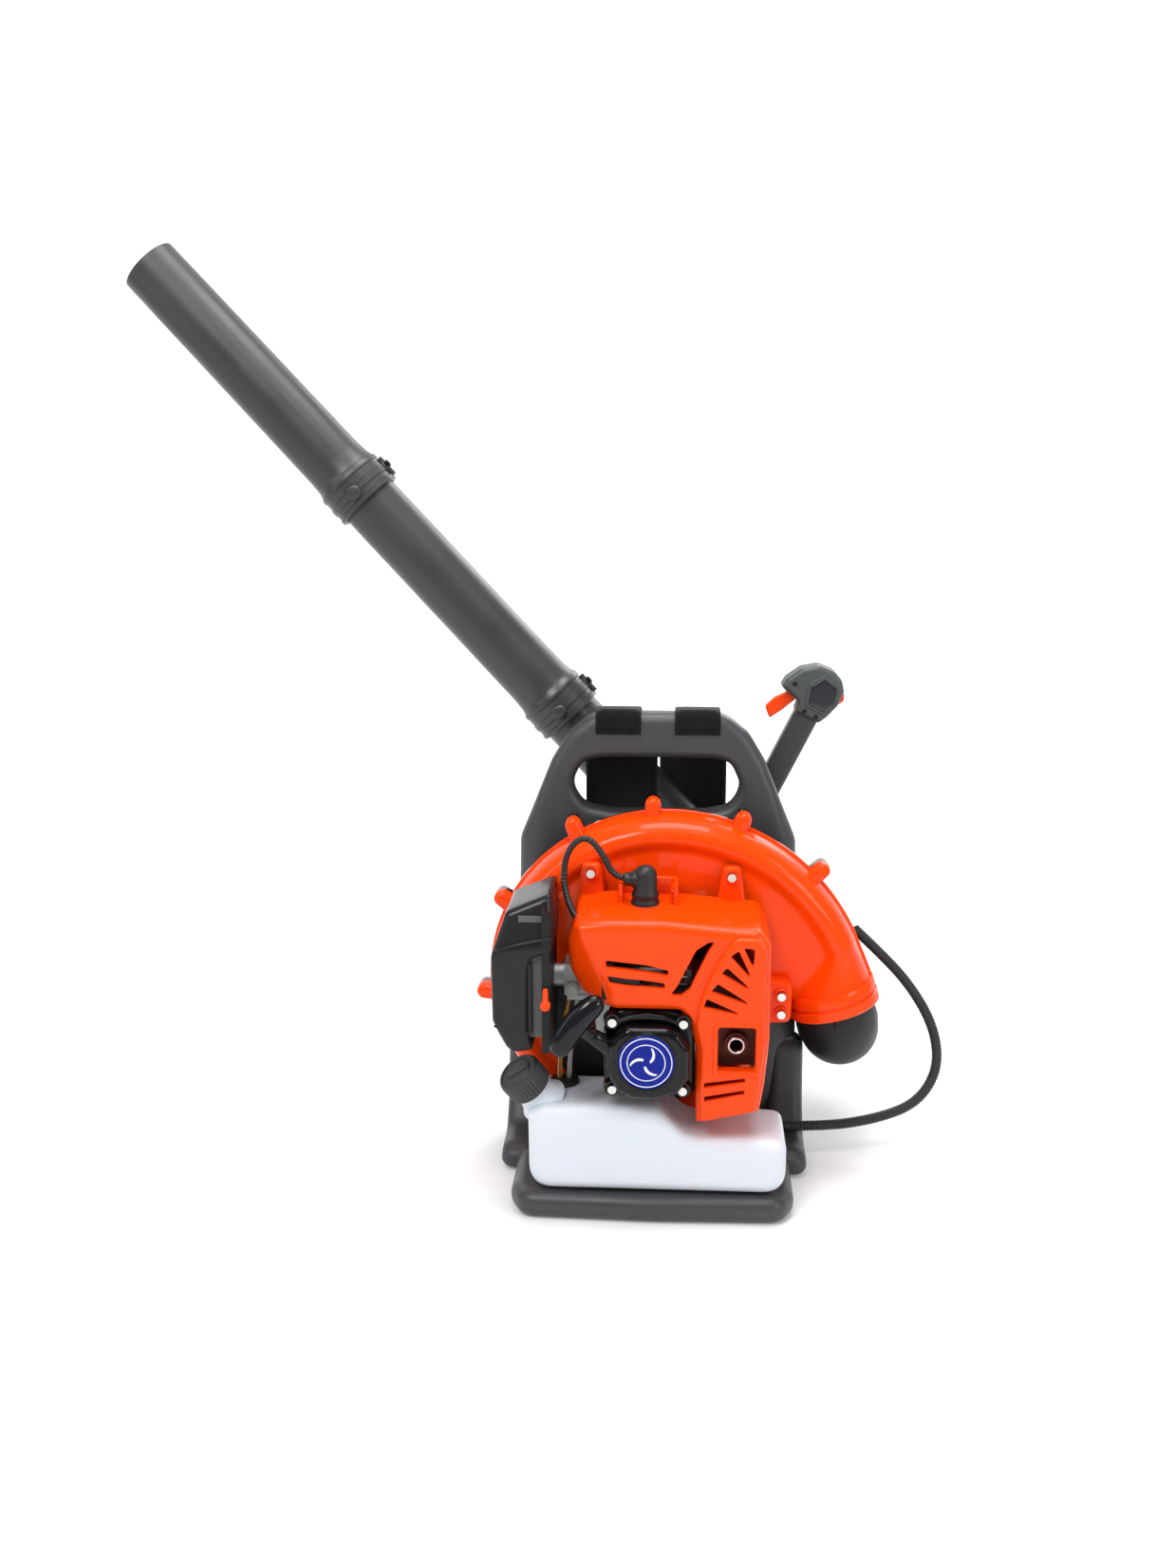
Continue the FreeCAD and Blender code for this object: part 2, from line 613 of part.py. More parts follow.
def make_flywheel():
    at = lambda y: ("crank_x", y, "crank_z")
    wheel = fuse(cylinder("flywheel_radius", 4, at(-118), Y_AXIS), cylinder(13, 14, at(-126), Y_AXIS),
                 tube("flywheel_radius", "flywheel_radius - 5", 7, at(-118), Y_AXIS))
    vanes = []
    for i in range(12):
        vane = box(14, 9, 2, ("crank_x", -127, "crank_z"))
        vane.Placement.Rotation = Rotation(Y_AXIS, 30 * i)
        bind(vane, **{".Placement.Base.x": "crank_x + 27 * cos(%d)" % (30 * i),
                      ".Placement.Base.z": "crank_z - 27 * sin(%d)" % (30 * i)})
        vanes.append(vane)
    NODES["flywheel"] = cut(fuse(wheel, *vanes), cylinder("shaft_radius - 1.45", 30, at(-128), Y_AXIS))


def make_muffler():
    can = prism("XZ_Plane", -50, 68, [(48, 166), (102, 166), (108, 174), (108, 262), (100, 270),
                                      (54, 270), (48, 262)])
    pocket(can, "XZ_Plane", -52, 64, [(50, 168), (101, 168), (106, 175), (106, 261), (99, 268),
                                      (55, 268), (50, 261)])
    port = cylinder(9, 8, (44, "cyl_y", "head_top - 53"), X_AXIS)
    flange = box(8, 40, 26, (39, "cyl_y - 20", "head_top - 66"))
    outlet = tube(12, 8.5, 8, (85, -126, 191), Y_AXIS)
    solid = fuse(can, flange, port, outlet)
    NODES["muffler"] = cut(solid, cylinder(8.5, 12, (85, -126, 191), Y_AXIS),
                           cylinder(7.5, 14, (38, "cyl_y", "head_top - 53"), X_AXIS))


def make_carburetor():
    axis_z = "head_top - 53"
    body = fuse(box(32, 32, 34, (-93, "cyl_y - 16", "head_top - 70")),
                box(26, 36, 5, (-90, "cyl_y - 18", "head_top - 74")),
                cylinder(12, 11, (-104, "cyl_y", axis_z), X_AXIS),
                box(13, 36, 30, (-62, "cyl_y - 18", "head_top - 68")),
                cylinder(5, 4, (-77, "cyl_y - 20", "head_top - 42"), Y_AXIS),
                cylinder(7.6, 6, (-84, "cyl_y - 22", "head_top - 62"), Y_AXIS))
    primer_pocket = cylinder(6.1, 5, (-84, "cyl_y - 22", "head_top - 62"), Y_AXIS)
    NODES["carburetor"] = cut(body, cylinder(8, 60, (-106, "cyl_y", axis_z), X_AXIS), primer_pocket)
    arm = fuse(cylinder(5, 3, (-77, "cyl_y - 23", "head_top - 42"), Y_AXIS),
               box(22, 3, 5, (-77, "cyl_y - 23", "head_top - 44.5")),
               cylinder(4, 3, (-55, "cyl_y - 23", "head_top - 42"), Y_AXIS))
    NODES["throttle_arm"] = arm
    dome = fuse(cylinder(6, 3, (-84, "cyl_y - 24", "head_top - 62"), Y_AXIS),
                cylinder(5, 4, (-84, "cyl_y - 28", "head_top - 62"), Y_AXIS))
    NODES["primer_bulb"] = dome
    lever = fuse(cylinder(5, 4, (-108, -154, 238), Y_AXIS), box(6, 4, 22, (-111, -154, 238)),
                 cylinder(2, 6, (-108, -150, 238), Y_AXIS))
    NODES["choke_lever"] = lever


def make_air_cleaner():
    rear = "filter_rear"
    outer = [("filter_left", 221), ("filter_left", 283), (-147, 329), (-112, 346), (-112, 181),
             (-151, 181)]
    depth = "filter_rear - filter_front"
    cover = prism("XZ_Plane", rear, depth, outer)
    inner = [("filter_left + 3", 222), ("filter_left + 3", 282), (-145, 327), (-112, 342),
             (-112, 184), (-149, 184)]
    pocket(cover, "XZ_Plane", rear + " - 3", depth + " - 6", inner)
    dish = tube(16, 14, 12, ("filter_left", -102, 252), X_AXIS)
    floor = cylinder(16, 3, ("filter_left + 9", -102, 252), X_AXIS)
    hole = cylinder(14, 9, ("filter_left - 1", -102, 252), X_AXIS)
    NODES["air_filter_cover"] = cut(fuse(cover, dish, floor), hole,
                                    cylinder(3, 20, ("filter_left - 1", -102, 252), X_AXIS))
    knob = fuse(cylinder(11, 7, ("filter_left + 1", -102, 252), X_AXIS),
                box(2, 22, 5, ("filter_left + 0.2", -113, 249.5)),
                cylinder(2.9, 12, ("filter_left + 4", -102, 252), X_AXIS))
    NODES["filter_knob"] = knob
    plate = prism("XZ_Plane", rear, depth, [(-112, 184), (-104, 186), (-104, 330), (-112, 342)])
    NODES["air_filter_base"] = cut(plate, cylinder(12, 10, (-113, "cyl_y", "head_top - 53"), X_AXIS),
                                   cylinder(2, 4, (-108, "filter_front", 238), Y_AXIS))
    NODES["air_filter_element"] = box(24, 76, 128, (-136, -141, 200))


# ---------------------------------------------------------------- engine cover and starter

COVER_CORNERS = [(-90, 320), (-90, 281), (-56, 236), (47, 236), (47, 112), (109, 126), (115, 132),
                 (118, 294), (106, 308), (84, 320)]


def make_engine_cover():
    body = prism("XZ_Plane", "cover_rear", "cover_rear - cover_front", COVER_CORNERS)
    rounded(body, 9, lambda e: along(e, Y_AXIS) and e.BoundBox.ZMin > 250)
    rounded(body, 8, lambda e: abs(e.BoundBox.YMax - size("cover_front")) < 0.01
            and e.BoundBox.YMax - e.BoundBox.YMin < 0.01 and not (e.BoundBox.ZMax < 237
            and e.BoundBox.XMax < 47.1))
    inner = [(-87, 316.5), (-87, 282), (-52, 234), (44, 234), (44, 116), (108, 129.5),
             (112, 134), (115, 293), (105, 304.5), (83, 316.5)]
    depth = "cover_rear - cover_front - cover_wall"
    pocket(body, "XZ_Plane", "cover_rear", depth, inner)
    tools = [prism("XZ_Plane", "cover_front + 10", 14, shape) for shape in cover_slots()]
    tools.append(cylinder(17, 60, ("crank_x", "cyl_y", "head_top")))
    tools.append(box(56, 66, 44, (-96, -112, 230)))
    tools.append(box(24, 26, 50, (-98, -113, 284)))
    window = prism("XZ_Plane", "cover_front + 10", 14, [(66, 167), (106, 167), (106, 217), (66, 217)])
    ears = [box(26, 6, 44, (-81, "cover_rear", 314)), box(26, 6, 44, (67, "cover_rear", 314)),
            box(34, 6, 40, (111, "cover_rear", 188))]
    rims = [box(24, 5, 12, (-80, "cover_rear - 2", 309)), box(24, 5, 12, (68, "cover_rear - 2", 309)),
            box(5, 5, 36, (111, "cover_rear - 2", 190))]
    bores = [cylinder(2.7, 20, (x, "cover_rear - 6", z), Y_AXIS) for x, z in COVER_BOLTS]
    NODES["engine_cover"] = cut(fuse(body, *(ears + rims)), window, *(tools + bores))


COVER_BOLTS = [(-68, 350), (80, 348), (135, 218), (135, 198)]


def cover_slots():
    """Corner lists of the cooling slots in the cover's front wall."""
    slots = [[(-48, 281), (-46, 275), (0, 265), (16, 263), (14, 269), (-4, 274)],
             [(-45, 262), (-43, 256), (-4, 251), (12, 252), (10, 257), (-10, 261)],
             [(20, 250), (44, 250), (60, 288), (26, 272)]]
    apex_x, apex_z = 92, 296
    for i in range(5):
        angle = math.radians(-122 + 17 * i)
        far = 62 - 3 * i
        half = math.radians(5.2)
        slots.append([(apex_x + 22 * math.cos(angle), apex_z + 22 * math.sin(angle)),
                      (apex_x + far * math.cos(angle - half), apex_z + far * math.sin(angle - half)),
                      (apex_x + far * math.cos(angle + half), apex_z + far * math.sin(angle + half))])
    slots.append([(54, 146), (100, 150), (98, 156), (54, 152)])
    slots.append([(54, 134), (98, 140), (96, 146), (54, 140)])
    return slots


def make_starter():
    left, right = "crank_x - 48", "crank_x + 48"
    low, high = "crank_z - 47", "crank_z + 49"
    clip = 10
    ring = [(left, low + " + %d" % clip), (left, high + " - %d" % clip),
            (left + " + %d" % clip, high), (right + " - %d" % clip, high),
            (right, high + " - %d" % clip), (right, low + " + %d" % clip),
            (right + " - %d" % clip, low), (left + " + %d" % clip, low)]
    shroud = prism("XZ_Plane", "case_front", "case_front - plate_front", ring)
    shroud = cut(shroud, cylinder("flywheel_radius + 2", 22, ("crank_x", "plate_front + 2.5", "crank_z"),
                                  Y_AXIS), cylinder(33, 10, ("crank_x", "plate_front - 2", "crank_z"),
                                                    Y_AXIS))
    left, right = "crank_x - 40", "crank_x + 41"
    low, high = "crank_z - 44", "crank_z + 47"
    clip = 24
    dome_outline = [(left, low + " + %d" % clip), (left, high + " - %d" % clip),
                    (left + " + %d" % clip, high), (right + " - %d" % clip, high),
                    (right, high + " - %d" % clip), (right, low + " + %d" % clip),
                    (right + " - %d" % clip, low), (left + " + %d" % clip, low)]
    dome = prism("XZ_Plane", "plate_front", "plate_front - starter_front", dome_outline)
    rounded(dome, 8, lambda e: e.BoundBox.YMax - e.BoundBox.YMin < 0.01
            and e.BoundBox.YMax < size("starter_front") + 0.01)
    spots = starter_spots()
    ears = [cylinder(7, 9, (x, "plate_front - 9", z), Y_AXIS) for x, z in spots]
    spout = cylinder(7, 14, (-52, -149, 200), Vector(*PULL))
    holes = [cylinder(2.7, 60, (x, "plate_front - 20", z), Y_AXIS) for x, z in spots]
    throat = cylinder(2.4, 30, (-52 - 8 * PULL[0], -149 - 8 * PULL[1], 200 - 8 * PULL[2]), Vector(*PULL))
    cavity = cylinder("reel_radius + 4", 23, ("crank_x", "starter_front + 3", "crank_z"), Y_AXIS)
    post = cylinder(5, 17, ("crank_x", "starter_front + 2.5", "crank_z"), Y_AXIS)
    recess = cylinder(28.8, 1, ("crank_x - 1", "starter_front", "crank_z"), Y_AXIS)
    NODES["flywheel_shroud"] = cut(shroud, *holes)
    shell = cut(fuse(dome, *(ears + [spout])), cavity, throat, recess,
                *[cylinder(2.7, 60, (x, "plate_front - 20", z), Y_AXIS) for x, z in spots])
    NODES["starter_housing"] = fuse(shell, post)
    NODES["starter_disc"] = cylinder(28.5, 1.4, ("crank_x - 1", "starter_front - 0.4", "crank_z"), Y_AXIS)
    reel_y = "starter_front + 7"
    reel = fuse(cylinder("reel_radius", 2, ("crank_x", reel_y, "crank_z"), Y_AXIS),
                cylinder("reel_radius", 2, ("crank_x", reel_y + " + 8", "crank_z"), Y_AXIS),
                cylinder("reel_radius - 7", 10, ("crank_x", reel_y, "crank_z"), Y_AXIS))
    NODES["starter_reel"] = cut(reel, cylinder(5.05, 12, ("crank_x", reel_y, "crank_z"), Y_AXIS))
    NODES["recoil_spring"] = tube("reel_radius - 6", 9, 3, ("crank_x", "starter_front + 3.4", "crank_z"),
                                  Y_AXIS)
    NODES["starter_rope"] = cylinder(2.2, 38, (-52 - 3 * PULL[0], -149 - 3 * PULL[1],
                                               200 - 3 * PULL[2]), Vector(*PULL))
    make_handle()


PULL = (-0.70, -0.36, 0.615)


def make_handle():
    pull = Vector(*PULL).normalize()
    root = Vector(-52, -149, 200)
    bar_dir = Vector(0.34, 0.0, 0.94).normalize()
    bar_dir = (bar_dir - pull * bar_dir.dot(pull)).normalize()
    grip_mid = root + pull * 37
    bar = Part.makeCylinder(10, 66, grip_mid - bar_dir * 33, bar_dir)
    ends = [Part.makeSphere(10, grip_mid + bar_dir * (33 * sign)) for sign in (-1, 1)]
    stem = Part.makeCone(7.2, 9.5, 20, root + pull * 15, pull)
    solid = bar.fuse(ends).fuse(stem)
    solid = solid.cut(Part.makeCylinder(2.2, 20.2, root + pull * 15, pull))
    NODES["starter_handle"] = shaped(solid)


# ---------------------------------------------------------------- tank and fuel parts

CAP_SPOT = (-134, -120, 146)
CAP_AXIS = (-0.52, -0.36, 0.775)


def make_tank():
    front_view = [(-130, "bar_height"), (-130, "tank_top"), (4, "tank_top"), (36, "tank_low"),
                  (139, "tank_low"), (139, "bar_height")]
    body = prism("XZ_Plane", "tank_rear", "tank_rear - tank_front", front_view)
    rounded(body, 12, lambda e: True)
    inner = [("-130 + tank_wall", "bar_height + tank_wall"), ("-130 + tank_wall", "tank_top - tank_wall"),
             ("4 - 1", "tank_top - tank_wall"), ("36 - 1", "tank_low - tank_wall"),
             ("139 - tank_wall", "tank_low - tank_wall"), ("139 - tank_wall", "bar_height + tank_wall")]
    hollow = prism("XZ_Plane", "tank_rear - tank_wall", "tank_rear - tank_front - 2 * tank_wall", inner)
    rounded(hollow, 9.5, lambda e: True)
    axis = Vector(*CAP_AXIS).normalize()
    cap = Vector(*CAP_SPOT)
    foot = cap - axis * 40
    neck = cylinder(19, 38, tuple(foot), axis)
    bore = cylinder(15, 42, tuple(foot + axis * 2), axis)
    grommet_hole = cylinder(13, 30, (-95, -75, "tank_top - 15"))
    whole = cut(fuse(body, neck), hollow, bore, grommet_hole)
    NODES["fuel_tank"] = whole
    gasket_at = tuple(foot + axis * 38)
    NODES["cap_gasket"] = tube(19, 15.2, 2, gasket_at, axis)
    cap_outer = cylinder("cap_radius", 25, tuple(foot + axis * 27), axis)
    cap_inner = cylinder(19.3, 13, tuple(foot + axis * 27), axis)
    NODES["fuel_cap"] = cut(cap_outer, cap_inner)
    grommet = fuse(cylinder(13, 8, (-95, -75, "tank_top - 5")),
                   cylinder(15.5, 5, (-95, -75, "tank_top + 0.2")))
    bores = [cylinder("fuel_line_radius", 40, (x, -75, "tank_top - 20")) for x in (-100, -90)]
    NODES["tank_grommet"] = cut(grommet, *bores)
    supply = [(-100, -75, 100), (-100, -75, 150), (-96, -84, 190), (-88, -88, 226)]
    back = [(-90, -75, 110), (-90, -75, 150), (-84, -80, 190), (-80, -86, 226)]
    NODES["fuel_lines"] = group(shaped(cord(supply, size("fuel_line_radius"))),
                                shaped(cord(back, size("fuel_line_radius"))))


# ---------------------------------------------------------------- air path

def tube_direction():
    angle = math.radians(size("tube_angle"))
    return Vector(-math.cos(angle), 0, math.sin(angle))


def make_elbow():
    outer, inner = size("duct_radius"), size("duct_radius") - size("duct_wall")
    down = outlet_direction()
    start = Vector(size("outlet_x"), 0, size("outlet_z"))
    reach = 51
    middle = start + down * reach
    arc_mid = start + down * (reach * math.sqrt(0.5)) + Y_AXIS * (reach * (1 - math.sqrt(0.5)))
    end = middle + Y_AXIS * reach
    last = Vector(end.x, size("hose_y"), end.z)
    path = Part.Wire([Part.Arc(start, arc_mid, end).toShape(), Part.makeLine(end, last)])
    solids = []
    for radius in (outer, inner):
        ring = Part.Wire([Part.makeCircle(radius, start, down)])
        solids.append(path.makePipeShell([ring], True, False))
    elbow = solids[0].cut(solids[1])
    tab = Part.makeBox(12, 9, 12, Vector(start.x - 1, 3 - outer - 6, start.z - 22))
    elbow = elbow.fuse(tab.cut(solids[0]))
    NODES["elbow"] = shaped(largest(elbow.cut(solids[1])))
    return last


def make_bellows(start):
    """The hose's outer form: a plain pipe whose middle line is a quarter turn towards the tubes."""
    direction = tube_direction()
    radius = size("bend_radius")
    half = math.sqrt(0.5)
    middle = start + Y_AXIS * (radius * half) + direction * (radius * (1 - half))
    end = start + Y_AXIS * radius + direction * radius
    path = Part.Wire([Part.Arc(start, middle, end).toShape()])
    pipes = []
    for ring_radius in (size("hose_radius"), size("hose_radius") - 7):
        ring = Part.Wire([Part.makeCircle(ring_radius, start, Y_AXIS)])
        pipes.append(path.makePipeShell([ring], True, False))
    NODES["bellows"] = shaped(pipes[0].cut(pipes[1]))
    return end


def make_tubes(end):
    direction = tube_direction()
    radius, wall = size("tube_radius"), size("tube_wall")
    turn = Rotation(Z_AXIS, direction)

    def spun(profile, origin):
        wire = Part.makePolygon([Vector(r, 0, s) for r, s in profile + profile[:1]])
        solid = Part.Face(wire).revolve(Vector(), Z_AXIS, 360)
        solid.Placement = Placement(origin, turn)
        return solid

    cuff = [(43.5, 0), (45.5, 0), (45.5, 4), (42, 8), (42, 34), (38.2, 34), (38.2, 12), (40, 8), (40, 0)]
    NODES["bellows_cuff"] = shaped(spun(cuff, end))
    first = size("swivel_length")
    swivel = [(37.9, 12), (37.9, 40), (radius, 46), (radius, first + 24), (radius - wall, first + 24),
              (radius - wall, 12)]
    NODES["swivel_tube"] = shaped(spun(swivel, end))
    second = first + size("mid_length")
    mid = [(40.5, first), (40.5, first + 34), (35, first + 40), (34.2, second + 24),
           (34.2 - wall, second + 24), (35.2 - wall, first + 40), (radius + 0.4, first + 30),
           (radius + 0.4, first)]
    NODES["mid_tube"] = shaped(spun(mid, end))
    third = second + size("nozzle_length")
    mouth = size("mouth_radius")
    nozzle = [(40.5, second), (40.5, second + 34), (36.4, second + 40), (mouth + 2, third),
              (mouth, third), (mouth, third - 60), (34.0, second + 36), (34.6, second + 30),
              (34.6, second)]
    NODES["nozzle_tube"] = shaped(spun(nozzle, end))
    normal = direction.cross(Y_AXIS) * -1
    for name, where in (("mid_tube", first), ("nozzle_tube", second)):
        spot = end + direction * (where + 17) + normal * 37
        boss = Part.makeCylinder(3.6, 9, spot, normal)
        NODES[name].Shape = NODES[name].Shape.fuse(boss)


def make_control_handle(end):
    """Clamp, arm and head, in the plane through the tube's middle line."""
    direction = tube_direction()
    radius = size("tube_radius")
    turn = Rotation(Z_AXIS, direction)
    station = size("handle_station")
    ring = Part.makeCylinder(radius + 4.5, 34, Vector(0, 0, -17), Z_AXIS)
    ring = ring.cut(Part.makeCylinder(radius + 0.3, 34, Vector(0, 0, -17), Z_AXIS))
    ring.Placement = Placement(end + direction * station, turn)
    lean = Vector(0.44, 0, 0.898).normalize()
    across = Vector(lean.z, 0, -lean.x)
    foot = end + direction * station + lean * (radius + 6)
    # the arm, a rounded bar 29 wide and 26 deep
    arm_length = size("arm_length")
    lower = slab(foot - lean * 4, across, lean, 32, 30, 10)
    arm = slab(foot + lean * 4, across, lean, 29, 26, arm_length - 4)
    clamp = ring.fuse(lower.cut(Part.makeCylinder(radius + 0.3, 80,
                                                  end + direction * (station - 40), direction)))
    NODES["handle_clamp"] = shaped(clamp)
    arm = arm.cut(slab(foot + lean * 8, across, lean, 23, 20, arm_length - 16))
    NODES["handle_arm"] = shaped(arm.cut(clamp))
    top = foot + lean * arm_length
    head_outline = [(-42, 4), (-41, 15), (-30, 33), (-15, 45), (2, 46), (17, 40), (25, 30),
                    (25, 14), (20, -4), (14.6, -13), (-14.6, -13), (-16, -3), (-28, 0)]
    head = plate(top, across, lean, head_outline, -19, 38)
    hollow = plate(top, across, lean, [(-37, 8), (-37, 14), (-27, 30), (-13, 41), (1, 42), (14, 37),
                                       (21, 28), (21, 14), (16, 0.5), (-14, 0.5), (-27, 4)], -16, 32)
    socket = plate(top, across, lean, [(-14.7, -14), (14.7, -14), (14.7, 0.3), (-14.7, 0.3)], -13.2, 26.4)
    slot = plate(top, across, lean, [(-48, -6), (-14.8, -6), (-14.8, 10), (-30, 15), (-48, 9)],
                 -6.3, 12.6)
    switch_hole = plate(top, across, lean, [(20, 12), (34, 12), (34, 29), (20, 29)], -6.5, 17)
    head = head.cut(hollow).cut(socket).cut(slot).cut(switch_hole)
    pin_spot = top + across * -22 + lean * 12
    pin = Part.makeCylinder(2.5, 34, pin_spot - Y_AXIS * 17, Y_AXIS)
    NODES["control_head"] = shaped(largest(head.fuse(pin)))
    trigger_outline = [(-28, 13), (-25, 17), (-19, 17), (-16.5, 8), (-20, -4), (-27, -20), (-36, -36),
                       (-47, -26), (-42, -12), (-34, -2), (-30, 8)]
    trigger = plate(top, across, lean, trigger_outline, -5, 10)
    trigger = trigger.cut(Part.makeCylinder(2.55, 12, pin_spot - Y_AXIS * 6, Y_AXIS))
    NODES["throttle_trigger"] = shaped(trigger)
    NODES["stop_switch"] = shaped(plate(top, across, lean, [(20.5, 13), (28, 14), (30, 20), (28, 27),
                                                            (20.5, 28)], -6, 12))
    panel = plate(top, across, lean, [(-6, 0), (15, 0), (21, 13), (16, 30), (-4, 34), (-12, 20)], -21, 2)
    NODES["control_panel"] = shaped(panel)


def plate(origin, across, lean, corners, low, depth):
    """A flat piece drawn in the plane of the handle, thick along Y."""
    points = [origin + across * u + lean * v + Y_AXIS * low for u, v in corners]
    return Part.Face(Part.makePolygon(points + points[:1])).extrude(Y_AXIS * depth)


def slab(base, across, lean, wide, deep, tall):
    """A bar with rounded long edges standing on a point of the handle's plane."""
    solid = Part.makeBox(wide, deep, tall, Vector(-wide / 2.0, -deep / 2.0, 0))
    longs = [e for e in solid.Edges if along(e, Z_AXIS)]
    solid = solid.makeFillet(min(wide, deep) * 0.3, longs)
    solid.Placement = Placement(base, Rotation(across, Y_AXIS, lean, "ZXY"))
    return solid


LOOP_POINTS = [(222, 47, 262), (246, 56, 238), (286, 60, 196), (316, 56, 146), (322, 48, 98),
               (298, 38, 60), (250, 28, 44), (190, 20, 37), (126, 18, 37)]


HOSE_POINTS = [(222, 47, 262), (228, 80, 240), (222, 116, 226), (204, 142, 228), (180, 150, 256)]
ARM_POINTS = [(179.8, 150.1, 256.3), (166.3, 154.6, 272), (148, 153, 300), (129, 150, 329),
              (112.6, 150, 337.1)]


def make_cables():
    radius = size("conduit_radius")
    NODES["throttle_cable_loop"] = shaped(cord(LOOP_POINTS, radius))
    print_radii("throttle_cable_loop", LOOP_POINTS)
    NODES["throttle_cable_hose"] = shaped(cord(HOSE_POINTS, radius - 2))
    print_radii("throttle_cable_hose", HOSE_POINTS)
    NODES["throttle_cable_arm"] = shaped(cord(ARM_POINTS, radius - 2))
    print_radii("throttle_cable_arm", ARM_POINTS)


def print_radii(name, points):
    """Prints a cord's arc radii, length and volume against its section times its length."""
    points = [Vector(*p) for p in points]
    radii = []
    for before, corner, after in zip(points, points[1:], points[2:]):
        turn = (corner - before).getAngle(after - corner)
        reach = 0.45 * min((corner - before).Length, (after - corner).Length)
        radii.append(round(reach / math.tan(turn / 2), 1))
    length = smooth_path(points).Length
    print(name, "length", round(length, 1), "radii", radii,
          "volume", round(NODES[name].Shape.Volume / 1000, 2))


def main():
    make_back_frame()
    make_base_frame()
    make_back_pad()
    make_straps()
    make_vibration_mounts()
    make_fan_housing()
    make_impeller()
    make_crankcase()
    make_crank_train()
    make_cylinder()
    make_ignition()
    make_flywheel()
    make_muffler()
    make_carburetor()
    make_air_cleaner()
    make_engine_cover()
    make_starter()
    make_screws()
    make_tank()
    last = make_elbow()
    end = make_bellows(last)
    make_tubes(end)
    make_control_handle(end)
    make_cables()
    doc.recompute()
    bad = []
    for name, item in NODES.items():
        item.Label = name
        shape = item.Shape
        if "Invalid" in item.State or "Error" in item.State or shape.isNull() or not shape.isValid():
            bad.append(name)
    for item in doc.Objects:
        if "Invalid" in item.State or "Error" in item.State:
            bad.append(item.Name)
    if bad:
        raise SystemExit("bad objects: %s" % ", ".join(bad))
    os.makedirs("parts", exist_ok=True)
    for name, item in NODES.items():
        item.Shape.exportStep("parts/%s.step" % name)
    print(len(NODES), "nodes written")


main()
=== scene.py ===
"""Looks of the backpack leaf blower, in the CAD's own frame.

Shapes are written in millimetres, and mesh_piece() turns them into metres."""
import math

import bpy
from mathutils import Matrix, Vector
from mathutils.geometry import delaunay_2d_cdt


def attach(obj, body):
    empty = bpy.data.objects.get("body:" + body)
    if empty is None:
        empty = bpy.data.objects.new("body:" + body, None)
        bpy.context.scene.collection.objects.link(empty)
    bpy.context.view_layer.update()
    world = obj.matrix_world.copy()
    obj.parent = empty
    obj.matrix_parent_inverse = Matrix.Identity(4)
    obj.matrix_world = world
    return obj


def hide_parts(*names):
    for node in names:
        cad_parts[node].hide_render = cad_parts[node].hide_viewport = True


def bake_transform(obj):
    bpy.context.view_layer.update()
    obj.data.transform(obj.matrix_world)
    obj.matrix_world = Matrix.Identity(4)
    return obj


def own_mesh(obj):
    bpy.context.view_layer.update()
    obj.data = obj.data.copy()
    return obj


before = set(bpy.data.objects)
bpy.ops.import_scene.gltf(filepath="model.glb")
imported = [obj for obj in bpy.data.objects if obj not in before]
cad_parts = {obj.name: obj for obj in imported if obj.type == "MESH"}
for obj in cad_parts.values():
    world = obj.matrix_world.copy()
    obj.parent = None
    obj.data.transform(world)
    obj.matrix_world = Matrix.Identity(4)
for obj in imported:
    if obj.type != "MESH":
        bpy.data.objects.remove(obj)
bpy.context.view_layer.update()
MM = 0.001


# ------------------------------------------------------------------ materials

